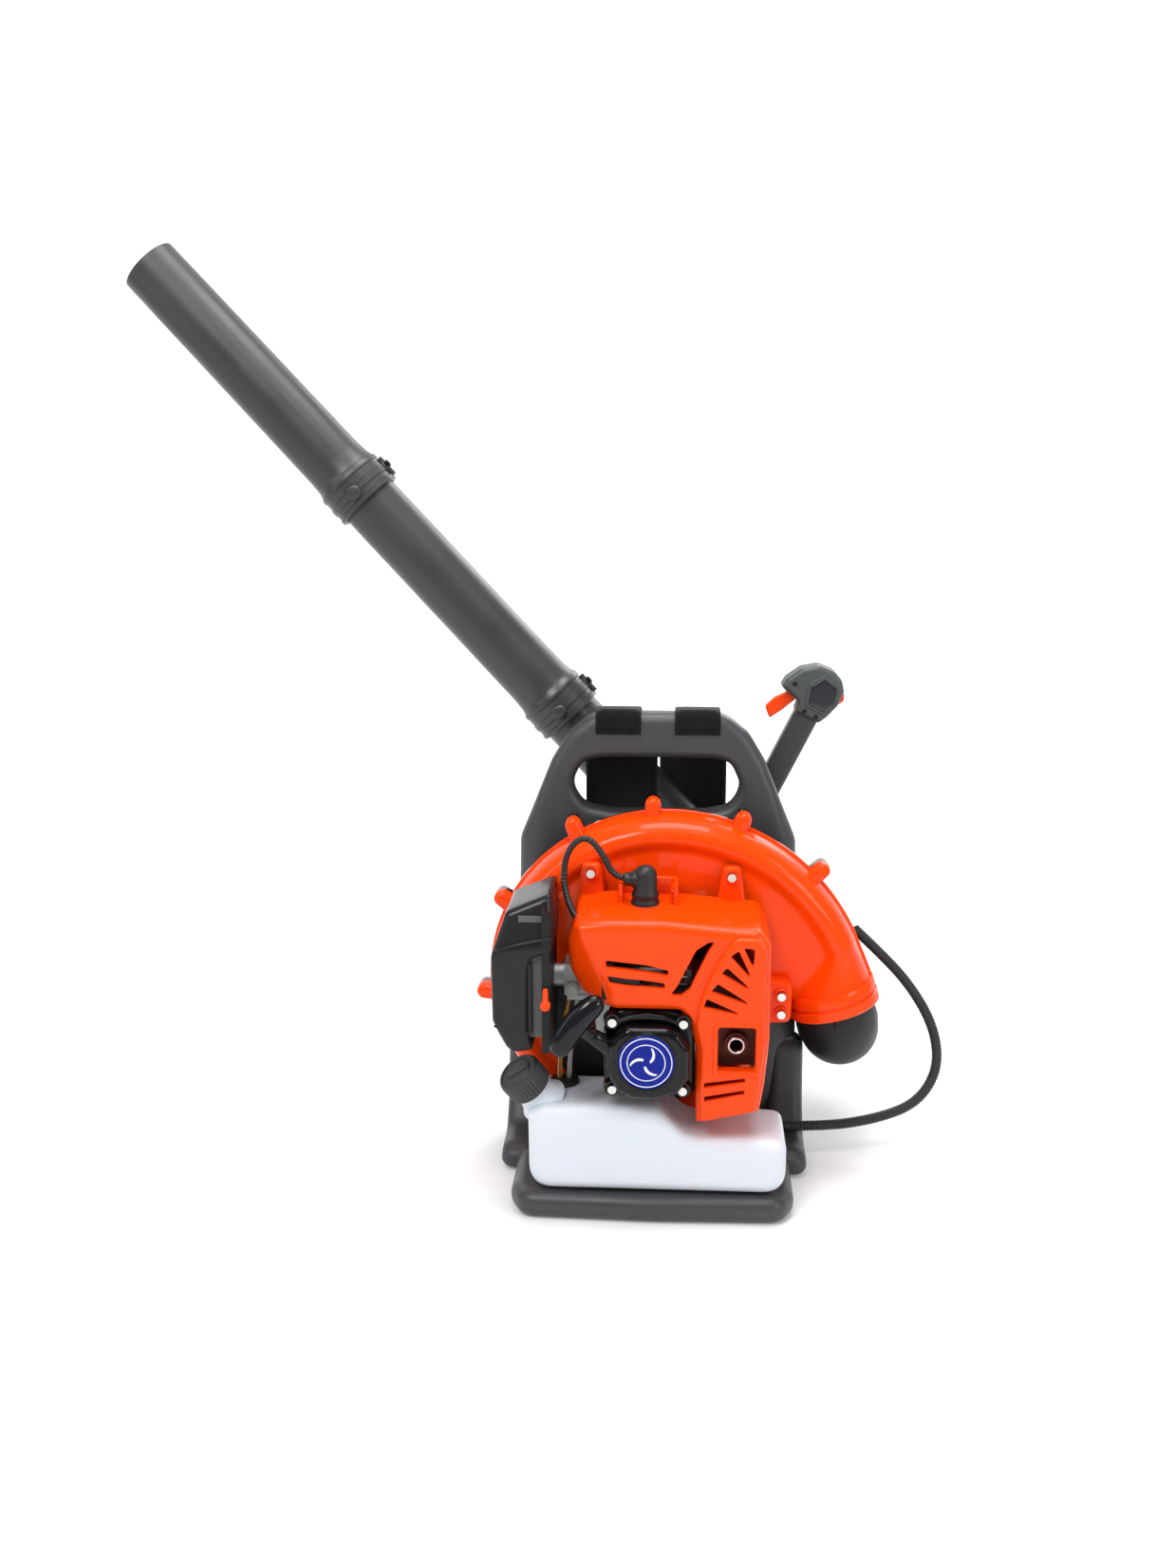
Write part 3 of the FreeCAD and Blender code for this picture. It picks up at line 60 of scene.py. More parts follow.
def material(name, color, rough=0.5, metallic=0.0, coat=0.0, grain=0.0, grain_size=400.0,
        mottle=0.06, transmission=0.0, subsurface=0.0, sheen=0.0, level=0.5):
    """A Principled material with a fine bump, uneven roughness and a little colour variation."""
    mat = bpy.data.materials.new(name)
    mat.use_nodes = True
    tree = mat.node_tree
    shader = tree.nodes["Principled BSDF"]
    link = tree.links.new
    shader.inputs["Metallic"].default_value = metallic
    shader.inputs["Coat Weight"].default_value = coat
    shader.inputs["Coat Roughness"].default_value = 0.06
    shader.inputs["Transmission Weight"].default_value = transmission
    shader.inputs["Subsurface Weight"].default_value = subsurface
    shader.inputs["Subsurface Scale"].default_value = 0.01
    shader.inputs["Sheen Weight"].default_value = sheen
    shader.inputs["Specular IOR Level"].default_value = level
    where = tree.nodes.new("ShaderNodeTexCoord")
    cloud = tree.nodes.new("ShaderNodeTexNoise")
    cloud.inputs["Scale"].default_value = 14.0
    cloud.inputs["Detail"].default_value = 5.0
    link(where.outputs["Object"], cloud.inputs["Vector"])
    ramp = tree.nodes.new("ShaderNodeMapRange")
    ramp.inputs["From Min"].default_value = 0.3
    ramp.inputs["From Max"].default_value = 0.7
    ramp.inputs["To Min"].default_value = max(0.02, rough * 0.82)
    ramp.inputs["To Max"].default_value = min(1.0, rough * 1.2)
    link(cloud.outputs["Fac"], ramp.inputs["Value"])
    link(ramp.outputs["Result"], shader.inputs["Roughness"])
    mix = tree.nodes.new("ShaderNodeMixRGB")
    mix.inputs["Color1"].default_value = [c * (1 - mottle) for c in color] + [1]
    mix.inputs["Color2"].default_value = [min(1, c * (1 + mottle)) for c in color] + [1]
    link(cloud.outputs["Fac"], mix.inputs["Fac"])
    link(mix.outputs["Color"], shader.inputs["Base Color"])
    if grain:
        fine = tree.nodes.new("ShaderNodeTexNoise")
        fine.inputs["Scale"].default_value = grain_size
        fine.inputs["Detail"].default_value = 3.0
        link(where.outputs["Object"], fine.inputs["Vector"])
        bump = tree.nodes.new("ShaderNodeBump")
        bump.inputs["Strength"].default_value = grain
        bump.inputs["Distance"].default_value = 0.0006
        link(fine.outputs["Fac"], bump.inputs["Height"])
        link(bump.outputs["Normal"], shader.inputs["Normal"])
    return mat


def woven(name, color, pitch=0.0016):
    """Webbing and mesh fabric: two crossed waves as thread bump, and a fuzz of sheen."""
    mat = material(name, color, rough=0.85, sheen=0.12, mottle=0.2, level=0.2)
    tree = mat.node_tree
    shader = tree.nodes["Principled BSDF"]
    where = [n for n in tree.nodes if n.type == "TEX_COORD"][0]
    waves = []
    for axis in ("X", "Z"):
        wave = tree.nodes.new("ShaderNodeTexWave")
        wave.bands_direction = axis
        wave.inputs["Scale"].default_value = 0.314 / pitch
        tree.links.new(where.outputs["Object"], wave.inputs["Vector"])
        waves.append(wave)
    join = tree.nodes.new("ShaderNodeMath")
    join.operation = "MAXIMUM"
    for index, wave in enumerate(waves):
        tree.links.new(wave.outputs["Fac"], join.inputs[index])
    bump = tree.nodes.new("ShaderNodeBump")
    bump.inputs["Strength"].default_value = 0.5
    bump.inputs["Distance"].default_value = 0.0008
    tree.links.new(join.outputs["Value"], bump.inputs["Height"])
    tree.links.new(bump.outputs["Normal"], shader.inputs["Normal"])
    return mat


ORANGE = material("orange_gloss", (0.86, 0.056, 0.001), rough=0.25, coat=0.3, grain=0.04,
    grain_size=90, mottle=0.05, level=0.06)
FRAME = material("frame_grey", (0.040, 0.039, 0.044), rough=0.42, grain=0.22, grain_size=900)
TUBE = material("tube_grey", (0.030, 0.030, 0.034), rough=0.38, grain=0.12, grain_size=1000)
# The tube grey made darker for the low-lying elbow: painted shade.
TUBE_PAINTED_SHADE = material("tube_grey_painted_shade", (0.013, 0.013, 0.015), rough=0.4, grain=0.2, grain_size=900, level=0.2)
BLACK = material("black_satin", (0.009, 0.009, 0.010), rough=0.40, grain=0.18, grain_size=800,
    level=0.25)
GLOSS = material("black_gloss", (0.003, 0.003, 0.004), rough=0.16, coat=0.4, grain=0.04,
    grain_size=70, level=0.1)
NAVY = material("handle_gloss", (0.004, 0.005, 0.007), rough=0.2, coat=0.35, grain=0.04,
    grain_size=70, level=0.12)
BEZEL = material("bezel_grey", (0.052, 0.060, 0.056), rough=0.45, grain=0.25, grain_size=900)
PANEL = material("panel_gloss", (0.004, 0.005, 0.010), rough=0.1, coat=0.8)
CLEANER = material("cleaner_grey", (0.017, 0.016, 0.017), rough=0.3, coat=0.2, grain=0.10,
    grain_size=900, level=0.12)
RUBBER = material("rubber_black", (0.010, 0.010, 0.010), rough=0.5, grain=0.2, grain_size=600)
ALLOY = material("cast_alloy", (0.42, 0.42, 0.42), rough=0.42, metallic=0.9, grain=0.5,
    grain_size=900, mottle=0.12)
STEEL = material("zinc_steel", (0.66, 0.65, 0.62), rough=0.25, metallic=1.0, grain=0.08,
    grain_size=900)
CERAMIC = material("plug_ceramic", (0.82, 0.80, 0.75), rough=0.2, coat=0.5)
HOT = material("muffler_black", (0.11, 0.022, 0.010), rough=0.55, metallic=0.3, grain=0.4,
    grain_size=600, mottle=0.3)
TANK = material("tank_white", (0.66, 0.70, 0.76), rough=0.36, subsurface=0.3, grain=0.10,
    grain_size=300, mottle=0.012, coat=0.1)
CAP = material("cap_grey", (0.030, 0.031, 0.034), rough=0.5, grain=0.3, grain_size=900)
AMBER = material("fuel_amber", (0.62, 0.30, 0.03), rough=0.15, transmission=0.5, mottle=0.2)
CLEAR = material("bulb_clear", (0.70, 0.71, 0.66), rough=0.15, transmission=0.6)
BLUE = material("disc_blue", (0.002, 0.012, 0.24), rough=0.2, coat=0.12, mottle=0.03, level=0.1)
WHITE = material("disc_white", (0.78, 0.78, 0.80), rough=0.25, coat=0.3)
FOAM = woven("mesh_fabric", (0.010, 0.010, 0.011), 0.0024)
WEB = woven("strap_web", (0.0035, 0.0035, 0.004), 0.0014)
SPONGE = material("filter_foam", (0.10, 0.10, 0.10), rough=0.95, grain=1.0, grain_size=500)


# ------------------------------------------------------------------ mesh helpers

def mesh_piece(name, points, faces, mat, sharp=38, smooth=True):
    """An object from points in millimetres."""
    data = bpy.data.meshes.new(name)
    data.from_pydata([tuple(c * MM for c in p) for p in points], [], faces)
    data.materials.append(mat)
    data.validate()
    obj = bpy.data.objects.new(name, data)
    bpy.context.scene.collection.objects.link(obj)
    for poly in data.polygons:
        poly.use_smooth = smooth
    if smooth:
        data.set_sharp_from_angle(angle=math.radians(sharp))
    return obj


def own(piece, body, slot, *nodes):
    """The piece rides on a body and stands for CAD nodes; slot is not used."""
    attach(piece, body)
    if nodes:
        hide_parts(*nodes)
    return piece


def finish(node, pieces, body, slot):
    """The pieces as one object that stands for a CAD node."""
    own(joined(node + "_looks", pieces), body, slot, node)


def modify(obj, kind, **settings):
    """Adds a modifier and applies it to the mesh."""
    mod = obj.modifiers.new(kind.lower(), kind)
    for key, value in settings.items():
        setattr(mod, key, value)
    depsgraph = bpy.context.evaluated_depsgraph_get()
    data = bpy.data.meshes.new_from_object(obj.evaluated_get(depsgraph))
    obj.modifiers.clear()
    obj.data = data
    return obj


def joined(name, pieces):
    """One object out of several; each keeps its materials."""
    points, faces, mats, which, flat = [], [], [], [], []
    for piece in pieces:
        base = len(points)
        world = piece.matrix_world
        points += [world @ v.co for v in piece.data.vertices]
        for poly in piece.data.polygons:
            faces.append([base + i for i in poly.vertices])
            mat = piece.data.materials[poly.material_index]
            if mat not in mats:
                mats.append(mat)
            which.append(mats.index(mat))
            flat.append(poly.use_smooth)
        bpy.data.objects.remove(piece)
    data = bpy.data.meshes.new(name)
    data.from_pydata(points, [], faces)
    for mat in mats:
        data.materials.append(mat)
    for poly, index, smooth in zip(data.polygons, which, flat):
        poly.material_index = index
        poly.use_smooth = smooth
    data.set_sharp_from_angle(angle=math.radians(38))
    obj = bpy.data.objects.new(name, data)
    bpy.context.scene.collection.objects.link(obj)
    return obj


def grid(name, rows, mat, around=False, caps=False, sharp=38, flip=False):
    """Quads between rows of points; around closes each row, caps fills the two ends."""
    count = len(rows[0])
    points = [p for row in rows for p in row]
    faces = []
    span = count if around else count - 1
    for r in range(len(rows) - 1):
        for c in range(span):
            d = (c + 1) % count
            face = [r * count + c, r * count + d, (r + 1) * count + d, (r + 1) * count + c]
            faces.append(face[::-1] if flip else face)
    if caps:
        faces.append(list(range(count))[::-1] if not flip else list(range(count)))
        last = (len(rows) - 1) * count
        tail = [last + i for i in range(count)]
        faces.append(tail if not flip else tail[::-1])
    return mesh_piece(name, points, faces, mat, sharp)


def basis(axis):
    """Two unit vectors across an axis."""
    axis = Vector(axis).normalized()
    side = axis.cross(Vector((0, 1, 0)))
    if side.length < 0.05:
        side = axis.cross(Vector((1, 0, 0)))
    side.normalize()
    return axis, side, axis.cross(side)


def lathe(name, profile, origin, axis, mat, steps=64, closed=True, sharp=32, ripple=None):
    """Revolves (radius, height) pairs; ripple(angle, radius, height) may change a radius."""
    axis, side, up = basis(axis)
    origin = Vector(origin)
    rows = []
    for radius, height in profile:
        row = []
        for i in range(steps):
            angle = 2 * math.pi * i / steps
            size = ripple(angle, radius, height) if ripple else radius
            row.append(origin + axis * height + (side * math.cos(angle) + up * math.sin(angle)) * size)
        rows.append(row)
    if closed:
        rows.append(rows[0])
    return grid(name, rows, mat, around=True, sharp=sharp)


def rounded_loop(corners, steps=7):
    """A closed loop whose corners (x, y, radius) are rounded by arcs."""
    loop = []
    count = len(corners)
    for i in range(count):
        before = Vector(corners[i - 1][:2])
        here = Vector(corners[i][:2])
        after = Vector(corners[(i + 1) % count][:2])
        inward, outward = (here - before).normalized(), (after - here).normalized()
        turn = inward.angle(outward)
        radius = corners[i][2] if len(corners[i]) > 2 else 0
        if turn < 0.02 or radius <= 0:
            loop.append(here)
            continue
        reach = min(radius * math.tan(turn / 2), 0.48 * (here - before).length,
            0.48 * (after - here).length)
        first, last = here - inward * reach, here + outward * reach
        for k in range(steps + 1):
            t = k / steps
            loop.append(first * (1 - t) ** 2 + here * 2 * t * (1 - t) + last * t * t)
    return [tuple(p) for p in loop]


def dense(loop, gap):
    """The loop with no side longer than gap."""
    out = []
    for a, b in zip(loop, loop[1:] + loop[:1]):
        a, b = Vector(a), Vector(b)
        parts = max(1, int(math.ceil((b - a).length / gap)))
        out += [tuple(a.lerp(b, k / parts)) for k in range(parts)]
    return out


def inset(loop, distance):
    """The loop drawn in (or out, if negative) along its corners' normals."""
    area = sum(a[0] * b[1] - b[0] * a[1] for a, b in zip(loop, loop[1:] + loop[:1]))
    sign = 1 if area > 0 else -1
    out = []
    count = len(loop)
    for i in range(count):
        a, b, c = Vector(loop[i - 1]), Vector(loop[i]), Vector(loop[(i + 1) % count])
        u, v = (b - a).normalized(), (c - b).normalized()
        n = Vector((-u.y - v.y, u.x + v.x))
        if n.length < 1e-6:
            n = Vector((-u.y, u.x))
        n.normalize()
        scale = 1 / max(0.5, n.dot(Vector((-u.y, u.x))))
        out.append(b + n * (distance * scale * sign))
    return unfolded(out, loop)


def unfolded(line, loop):
    """The drawn-in loop, with the points of a corner tighter than the distance brought together."""
    count = len(line)
    for _ in range(40):
        folded = False
        for i in range(count):
            j = (i + 1) % count
            if (line[j] - line[i]).dot(Vector(loop[j]) - Vector(loop[i])) < -1e-7:
                line[i] = line[j] = (line[i] + line[j]) / 2
                folded = True
        if not folded:
            break
    return [tuple(p) for p in line]


def inside(point, loop):
    x, y = point
    hit = False
    for (ax, ay), (bx, by) in zip(loop, loop[1:] + loop[:1]):
        if (ay > y) != (by > y) and x < (bx - ax) * (y - ay) / (by - ay) + ax:
            hit = not hit
    return hit


def loop_area(loop):
    return abs(sum(a[0] * b[1] - b[0] * a[1] for a, b in zip(loop, loop[1:] + loop[:1]))) / 2


def spaced(loop):
    """The loop without points that lie on each other."""
    return [p for p, q in zip(loop, loop[-1:] + loop[:-1]) if math.dist(p, q) > 0.004]


def triangles(loops, gap):
    """Triangles between the first loop and the others, with a lattice of inner points."""
    outer, holes = loops[0], loops[1:]
    points, edges = [], []
    for loop in loops:
        base = len(points)
        points += [Vector(p) for p in loop]
        edges += [(base + i, base + (i + 1) % len(loop)) for i in range(len(loop))]
    keep = len(points)
    xs, ys = [p[0] for p in outer], [p[1] for p in outer]
    for i in range(1, int((max(xs) - min(xs)) / gap) + 1):
        for j in range(1, int((max(ys) - min(ys)) / gap) + 1):
            spot = (min(xs) + (i + 0.5 * (j % 2)) * gap, min(ys) + j * gap)
            if inside(spot, outer) and not any(inside(spot, h) for h in holes):
                near = min((points[k] - Vector(spot)).length for k in range(keep))
                if near > gap * 0.55:
                    points.append(Vector(spot))
    result = delaunay_2d_cdt(points, edges, [], 0, 1e-5)
    verts, faces, total = result[0], [], 0
    for face in result[2]:
        middle = sum((verts[i] for i in face), Vector((0, 0))) / len(face)
        corners = [tuple(verts[i]) for i in face]
        longest = max(math.dist(p, q) for p, q in zip(corners, corners[1:] + corners[:1]))
        flat = loop_area(corners) < 0.02 * longest
        if not flat and inside(middle, outer) and not any(inside(middle, h) for h in holes):
            faces.append(list(face))
            total += loop_area(corners)
    return [tuple(v) for v in verts], faces, total


def filled(outer, holes, gap):
    """The triangulation, of a few lattices, that covers the area between the loops best."""
    loops = [spaced(loop) for loop in [outer] + list(holes)]
    wanted = loop_area(loops[0]) - sum(loop_area(loop) for loop in loops[1:])
    best = None
    for factor in (1, 0.97, 1.04, 0.93, 1.09):
        verts, faces, total = triangles(loops, gap * factor)
        miss = abs(total - wanted)
        if best is None or miss < best[0]:
            best = (miss, verts, faces)
        if miss < 0.2:
            break
    return best[1], best[2]


def moulding(name, outline, low, high, mat, edge=6.0, holes=(), back=None, plane="XZ", gap=9.0,
        bend=None, arc=6, sharp=38, wall=None, steps=7):
    """A moulded part drawn in a plane and standing out to a rounded face at high.

    The outline's corners are (x, y, radius), each rounded in a number of steps.

    Holes are (loop, edge, depth). back "same" also rounds and closes the face at low;
    back "flat" closes it square; None leaves it open, and wall then gives its thickness."""
    direction = 1 if high > low else -1
    points, faces = [], []

    def ring(loop, level):
        base = len(points)
        points.extend((p[0], p[1], level) for p in loop)
        return list(range(base, base + len(loop)))

    def skin(rings, flip):
        for a, b in zip(rings, rings[1:]):
            count = len(a)
            for i in range(count):
                j = (i + 1) % count
                face = [a[i], a[j], b[j], b[i]]
                faces.append(face[::-1] if flip else face)

    outline = dense(rounded_loop(outline, steps), gap)
    area = sum(a[0] * b[1] - b[0] * a[1] for a, b in zip(outline, outline[1:] + outline[:1]))
    flip_side = (area > 0) != (direction > 0)
    profile = [(edge * (1 - math.cos(math.pi / 2 * k / arc)),
        edge * (1 - math.sin(math.pi / 2 * k / arc))) for k in range(arc + 1)]
    levels = []
    if back == "same":
        levels += [(shift, low + direction * rise) for shift, rise in reversed(profile)]
    else:
        levels.append((0, low))
    spans = max(1, int(abs(high - low) / max(gap, 12)))
    start = low + direction * (edge if back == "same" else 0)
    stop = high - direction * edge
    levels += [(0, start + (stop - start) * k / spans) for k in range(1, spans)]
    levels += [(shift, high - direction * rise) for shift, rise in profile]
    rings = [ring(inset(outline, shift), level) for shift, level in levels]
    skin(rings, flip_side)
    face_holes, back_holes = [], []
    for loop, lip, depth in holes:
        loop = dense(loop, gap)
        part = [(lip * (1 - math.cos(math.pi / 2 * k / 4)),
            lip * (1 - math.sin(math.pi / 2 * k / 4))) for k in range(5)] if lip else [(0, 0)]
        hole_area = sum(a[0] * b[1] - b[0] * a[1] for a, b in zip(loop, loop[1:] + loop[:1]))
        through = back == "same" and depth is None
        stack = []
        if through:
            stack += [(-shift, low + direction * rise) for shift, rise in reversed(part)]
        else:
            stack.append((0, high - direction * (depth or 8)))
        stack += [(-shift, high - direction * rise) for shift, rise in part]
        hole_rings = [ring(inset(loop, shift), level) for shift, level in stack]
        skin(hole_rings, (hole_area > 0) == (direction > 0))
        face_holes.append(inset(loop, -lip) if lip else loop)
        back_holes.append(inset(loop, -lip) if through and lip else loop)
    verts, tris = filled(inset(outline, edge), face_holes, gap)
    base = len(points)
    points.extend((v[0], v[1], high) for v in verts)
    faces.extend([base + i for i in (t if direction > 0 else t[::-1])] for t in tris)
    if back:
        loop = inset(outline, edge) if back == "same" else outline
        verts, tris = filled(loop, back_holes if back == "same" else [], gap)
        base = len(points)
        points.extend((v[0], v[1], low) for v in verts)
        faces.extend([base + i for i in (t[::-1] if direction > 0 else t)] for t in tris)
    if plane == "XZ":
        placed = [Vector((p[0], p[2], p[1])) for p in points]
        faces = [f[::-1] for f in faces]
    elif plane == "YZ":
        placed = [Vector((p[2], p[0], p[1])) for p in points]
    else:
        placed = [Vector(p) for p in points]
    if bend:
        placed = [bend(p) for p in placed]
    obj = mesh_piece(name, placed, faces, mat, sharp)
    weld(obj)
    if wall:
        modify(obj, "SOLIDIFY", thickness=wall * MM, offset=-1.0)
        obj.data.set_sharp_from_angle(angle=math.radians(sharp))
    return obj


def weld(obj, gap=0.00002):
    modify(obj, "WELD", merge_threshold=gap)
    obj.data.set_sharp_from_angle(angle=math.radians(38))


def smooth_line(points, steps=12):
    """A NURBS line through the route's control points, read back as points in millimetres."""
    curve = bpy.data.curves.new("route", "CURVE")
    curve.dimensions = "3D"
    spline = curve.splines.new("NURBS")
    spline.points.add(len(points) - 1)
    for target, p in zip(spline.points, points):
        target.co = [c * MM for c in p] + [1]
    spline.order_u = 3
    spline.use_endpoint_u = True
    spline.resolution_u = steps
    obj = bpy.data.objects.new("route", curve)
    data = bpy.data.meshes.new_from_object(obj)
    line = [v.co / MM for v in data.vertices]
    bpy.data.objects.remove(obj)
    return line


def evenly(line, gap):
    """The same line with points an even distance apart."""
    out = [line[0]]
    carry = 0.0
    for a, b in zip(line, line[1:]):
        run = (b - a).length
        at = gap - carry
        while at <= run:
            out.append(a.lerp(b, at / run))
            at += gap
        carry = (carry + run) % gap if run else carry
    if (out[-1] - line[-1]).length > gap * 0.3:
        out.append(line[-1])
    else:
        out[-1] = line[-1]
    return out


def pipe(name, line, radius, mat, steps=16, rib=None, sharp=60, flat=1.0):
    """A tube along a line; rib(distance) may change its radius."""
    rows = []
    side = None
    travelled = 0.0
    for i, spot in enumerate(line):
        ahead = (line[min(i + 1, len(line) - 1)] - line[max(i - 1, 0)]).normalized()
        if side is None:
            side = basis(ahead)[1]
        side = (side - ahead * side.dot(ahead)).normalized()
        up = ahead.cross(side)
        size = rib(travelled) if rib else radius
        rows.append([spot + (side * math.cos(a) + up * math.sin(a) * flat) * size
            for a in (2 * math.pi * k / steps for k in range(steps))])
        if i + 1 < len(line):
            travelled += (line[i + 1] - spot).length
    return grid(name, rows, mat, around=True, caps=True, sharp=sharp)


def paint(mat, *nodes):
    """Gives CAD nodes that stay in view their material."""
    for node in nodes:
        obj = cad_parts[node]
        obj.data.materials.clear()
        obj.data.materials.append(mat)
        obj.data.set_sharp_from_angle(angle=math.radians(35))


# ------------------------------------------------------------------ camera, light and floor

def studio():
    data = bpy.data.cameras.new("camera")
    data.lens = 34.98
    data.sensor_width = 36.0
    camera = bpy.data.objects.new("camera", data)
    camera.location = (0.023, -1.6, 0.775)
    camera.rotation_euler = (math.radians(78), 0, math.radians(3.5))
    bpy.context.scene.collection.objects.link(camera)
    bpy.context.scene.camera = camera
    world = bpy.data.worlds.new("studio")
    world.use_nodes = True
    world.node_tree.nodes["Background"].inputs["Color"].default_value = (1, 1, 1, 1)
    world.node_tree.nodes["Background"].inputs["Strength"].default_value = 0.34
    bpy.context.scene.world = world
    bpy.context.scene.view_settings.view_transform = "Standard"
    lamps = [("key", (-0.9, -1.7, 2.2), (0, 0, 0.25), 0.8, 0.8, 30), ("fill", (1.7, -1.5, 1.0),
        (0, 0, 0.25), 0.7, 0.7, 9), ("top", (0.1, 0.0, 2.4), (0, 0, 0.2), 1.1, 1.1, 31),
        ("back", (0.8, 1.8, 1.6), (0, 0, 0.3), 1.2, 1.2, 16), ("strip_top", (0.1, -1.1, 2.2),
        (0, 0, 0.35), 1.6, 0.05, 9), ("strip_left", (-1.9, -0.8, 1.2), (0, 0, 0.3), 0.05, 1.4, 6),
        ("strip_right", (1.8, -1.0, 1.3), (0, 0, 0.3), 0.05, 1.4, 5)]
    for name, spot, target, wide, tall, power in lamps:
        light = bpy.data.lights.new(name, "AREA")
        light.shape = "RECTANGLE"
        light.size = wide
        light.size_y = tall
        light.energy = power
        lamp = bpy.data.objects.new(name, light)
        lamp.location = spot
        lamp.rotation_euler = (Vector(target) - Vector(spot)).to_track_quat("-Z", "Y").to_euler()
        bpy.context.scene.collection.objects.link(lamp)
    profile = [(-9000, -0.5), (3000, -0.5)]
    profile += [(3000 + 2500 * math.sin(a), 2499.5 - 2500 * math.cos(a))
        for a in (math.pi / 2 * k / 10 for k in range(1, 11))]
    profile.append((5500, 9000))
    rows = [[Vector((x, y, z)) for x in (-9000, 9000)] for y, z in profile]
    grid("floor", rows, floor_material(), sharp=80)


def floor_material():
    """Matt white that glows softly away from the object, so that the ground has no edge."""
    mat = material("floor", (0.80, 0.80, 0.80), rough=0.8, mottle=0.01)
    tree = mat.node_tree
    shader = tree.nodes["Principled BSDF"]
    where = [n for n in tree.nodes if n.type == "TEX_COORD"][0]
    reach = tree.nodes.new("ShaderNodeSeparateXYZ")
    tree.links.new(where.outputs["Object"], reach.inputs[0])
    glow = tree.nodes.new("ShaderNodeMapRange")
    glow.interpolation_type = "SMOOTHSTEP"
    glow.inputs["From Min"].default_value = 0.1
    glow.inputs["From Max"].default_value = 2.0
    glow.inputs["To Min"].default_value = 0.10
    glow.inputs["To Max"].default_value = 0.85
    tree.links.new(reach.outputs["Y"], glow.inputs["Value"])
    tree.links.new(glow.outputs["Result"], shader.inputs["Emission Strength"])
    shader.inputs["Emission Color"].default_value = (1, 1, 1, 1)
    return mat


# ------------------------------------------------------------------ carrier

def frame_bend(p):
    """The frame's side flanges lean back from two upright creases."""
    if abs(p.x) > 134 and p.y < 86:
        p.y += (abs(p.x) - 134) * 0.42 * min(1, max(0, (88 - p.y) / 36))
    return p


def make_carrier():
    side = [(-167, 26, 14), (-161, 104, 60), (-154.5, 360, 30), (-139, 398, 30), (-119, 448, 40),
        (-100, 480, 40), (-72, 503, 40)]
    outline = side + [(-x, z, r) for x, z, r in reversed(side)] + [(158, 2, 10), (-158, 2, 10)]
    hole = [(-52, 391.5, 30), (52, 391.5, 30), (80, 397, 24), (93, 420, 26), (80, 449, 26),
        (60, 453, 20), (-60, 453, 20), (-84, 449, 26), (-97, 420, 26), (-82, 397, 24)]
    body = moulding("frame_body", outline, 88, 50, FRAME, edge=13, holes=[(rounded_loop(hole), 9,
        None)], back="same", bend=frame_bend, gap=10)
    feet = []
    for sign in (-1, 1):
        foot = [(-36, 2, 8), (-36, 19, 12), (-22, 29, 14), (22, 30, 20), (46, 62, 40),
            (53, 130, 40), (86, 130, 20), (86, 2, 8)]
        feet.append(moulding("foot", foot, sign * 128, sign * 169.5, FRAME, edge=13, back="same",
            plane="YZ", gap=12))
    finish("back_frame", [body] + feet, "blower", "frame_plastic")
    outer = [(-149, -33, 8), (-149, -118, 30), (-136, -146, 26), (0, -150.5, 400), (136, -146, 26),
        (149, -118, 30), (149, -33, 8), (127, -22, 6), (127, 51, 6), (-127, 51, 6), (-127, -22, 6)]
    hollow = [(-124, -40, 12), (-124, -108, 20), (-112, -122, 18), (112, -122, 18), (124, -108, 20),
        (124, -40, 12), (104, -28, 8), (104, 30, 8), (-104, 30, 8), (-104, -28, 8)]
    loop = moulding("base_loop", outer, 0, 28, FRAME, edge=12.5, holes=[(rounded_loop(hollow), 5,
        6)], back="same", plane="XY", gap=12)
    floor = moulding("base_tray", hollow, 16, 22.5, FRAME, edge=0.6, back="flat", plane="XY",
        gap=20)
    finish("base_frame", [loop, floor], "blower", "frame_plastic")


# ------------------------------------------------------------------ fan housing

CRANK = Vector((-5, 0, 183))
SPIRAL = [(8, 125), (45, 128), (90, 136), (128, 146), (160, 158), (200, 184), (235, 206),
    (270, 222), (305, 231), (341, 238)]
MOUTH_RADIUS = 47
ELBOW_BEND = 51
BELLOWS_BEND = 75
MOUTH = Vector((193.3, 0, 200.3))
DOWN = Vector((math.sin(math.radians(15)), 0, -math.cos(math.radians(15))))
MOUTH_SIDE = Vector((math.cos(math.radians(15)), 0, math.sin(math.radians(15))))
LUGS = [(-188, 202), (-168, 308), (-90, 391), (-4, 414), (93, 399), (178, 345)]


def spiral_radius(turn):
    spots = SPIRAL
    for i in range(len(spots) - 1):
        if turn <= spots[i + 1][0]:
            break
    t = (turn - spots[i][0]) / (spots[i + 1][0] - spots[i][0])
    p0, p1 = spots[max(i - 1, 0)], spots[i]
    p2, p3 = spots[i + 1], spots[min(i + 2, len(spots) - 1)]
    m1 = (p2[1] - p0[1]) / max(1, p2[0] - p0[0]) * (p2[0] - p1[0])
    m2 = (p3[1] - p1[1]) / max(1, p3[0] - p1[0]) * (p2[0] - p1[0])
    return ((2 * t ** 3 - 3 * t ** 2 + 1) * p1[1] + (t ** 3 - 2 * t ** 2 + t) * m1
        + (-2 * t ** 3 + 3 * t ** 2) * p2[1] + (t ** 3 - t ** 2) * m2)


def ease(t):
    t = min(1, max(0, t))
    return t * t * (3 - 2 * t)


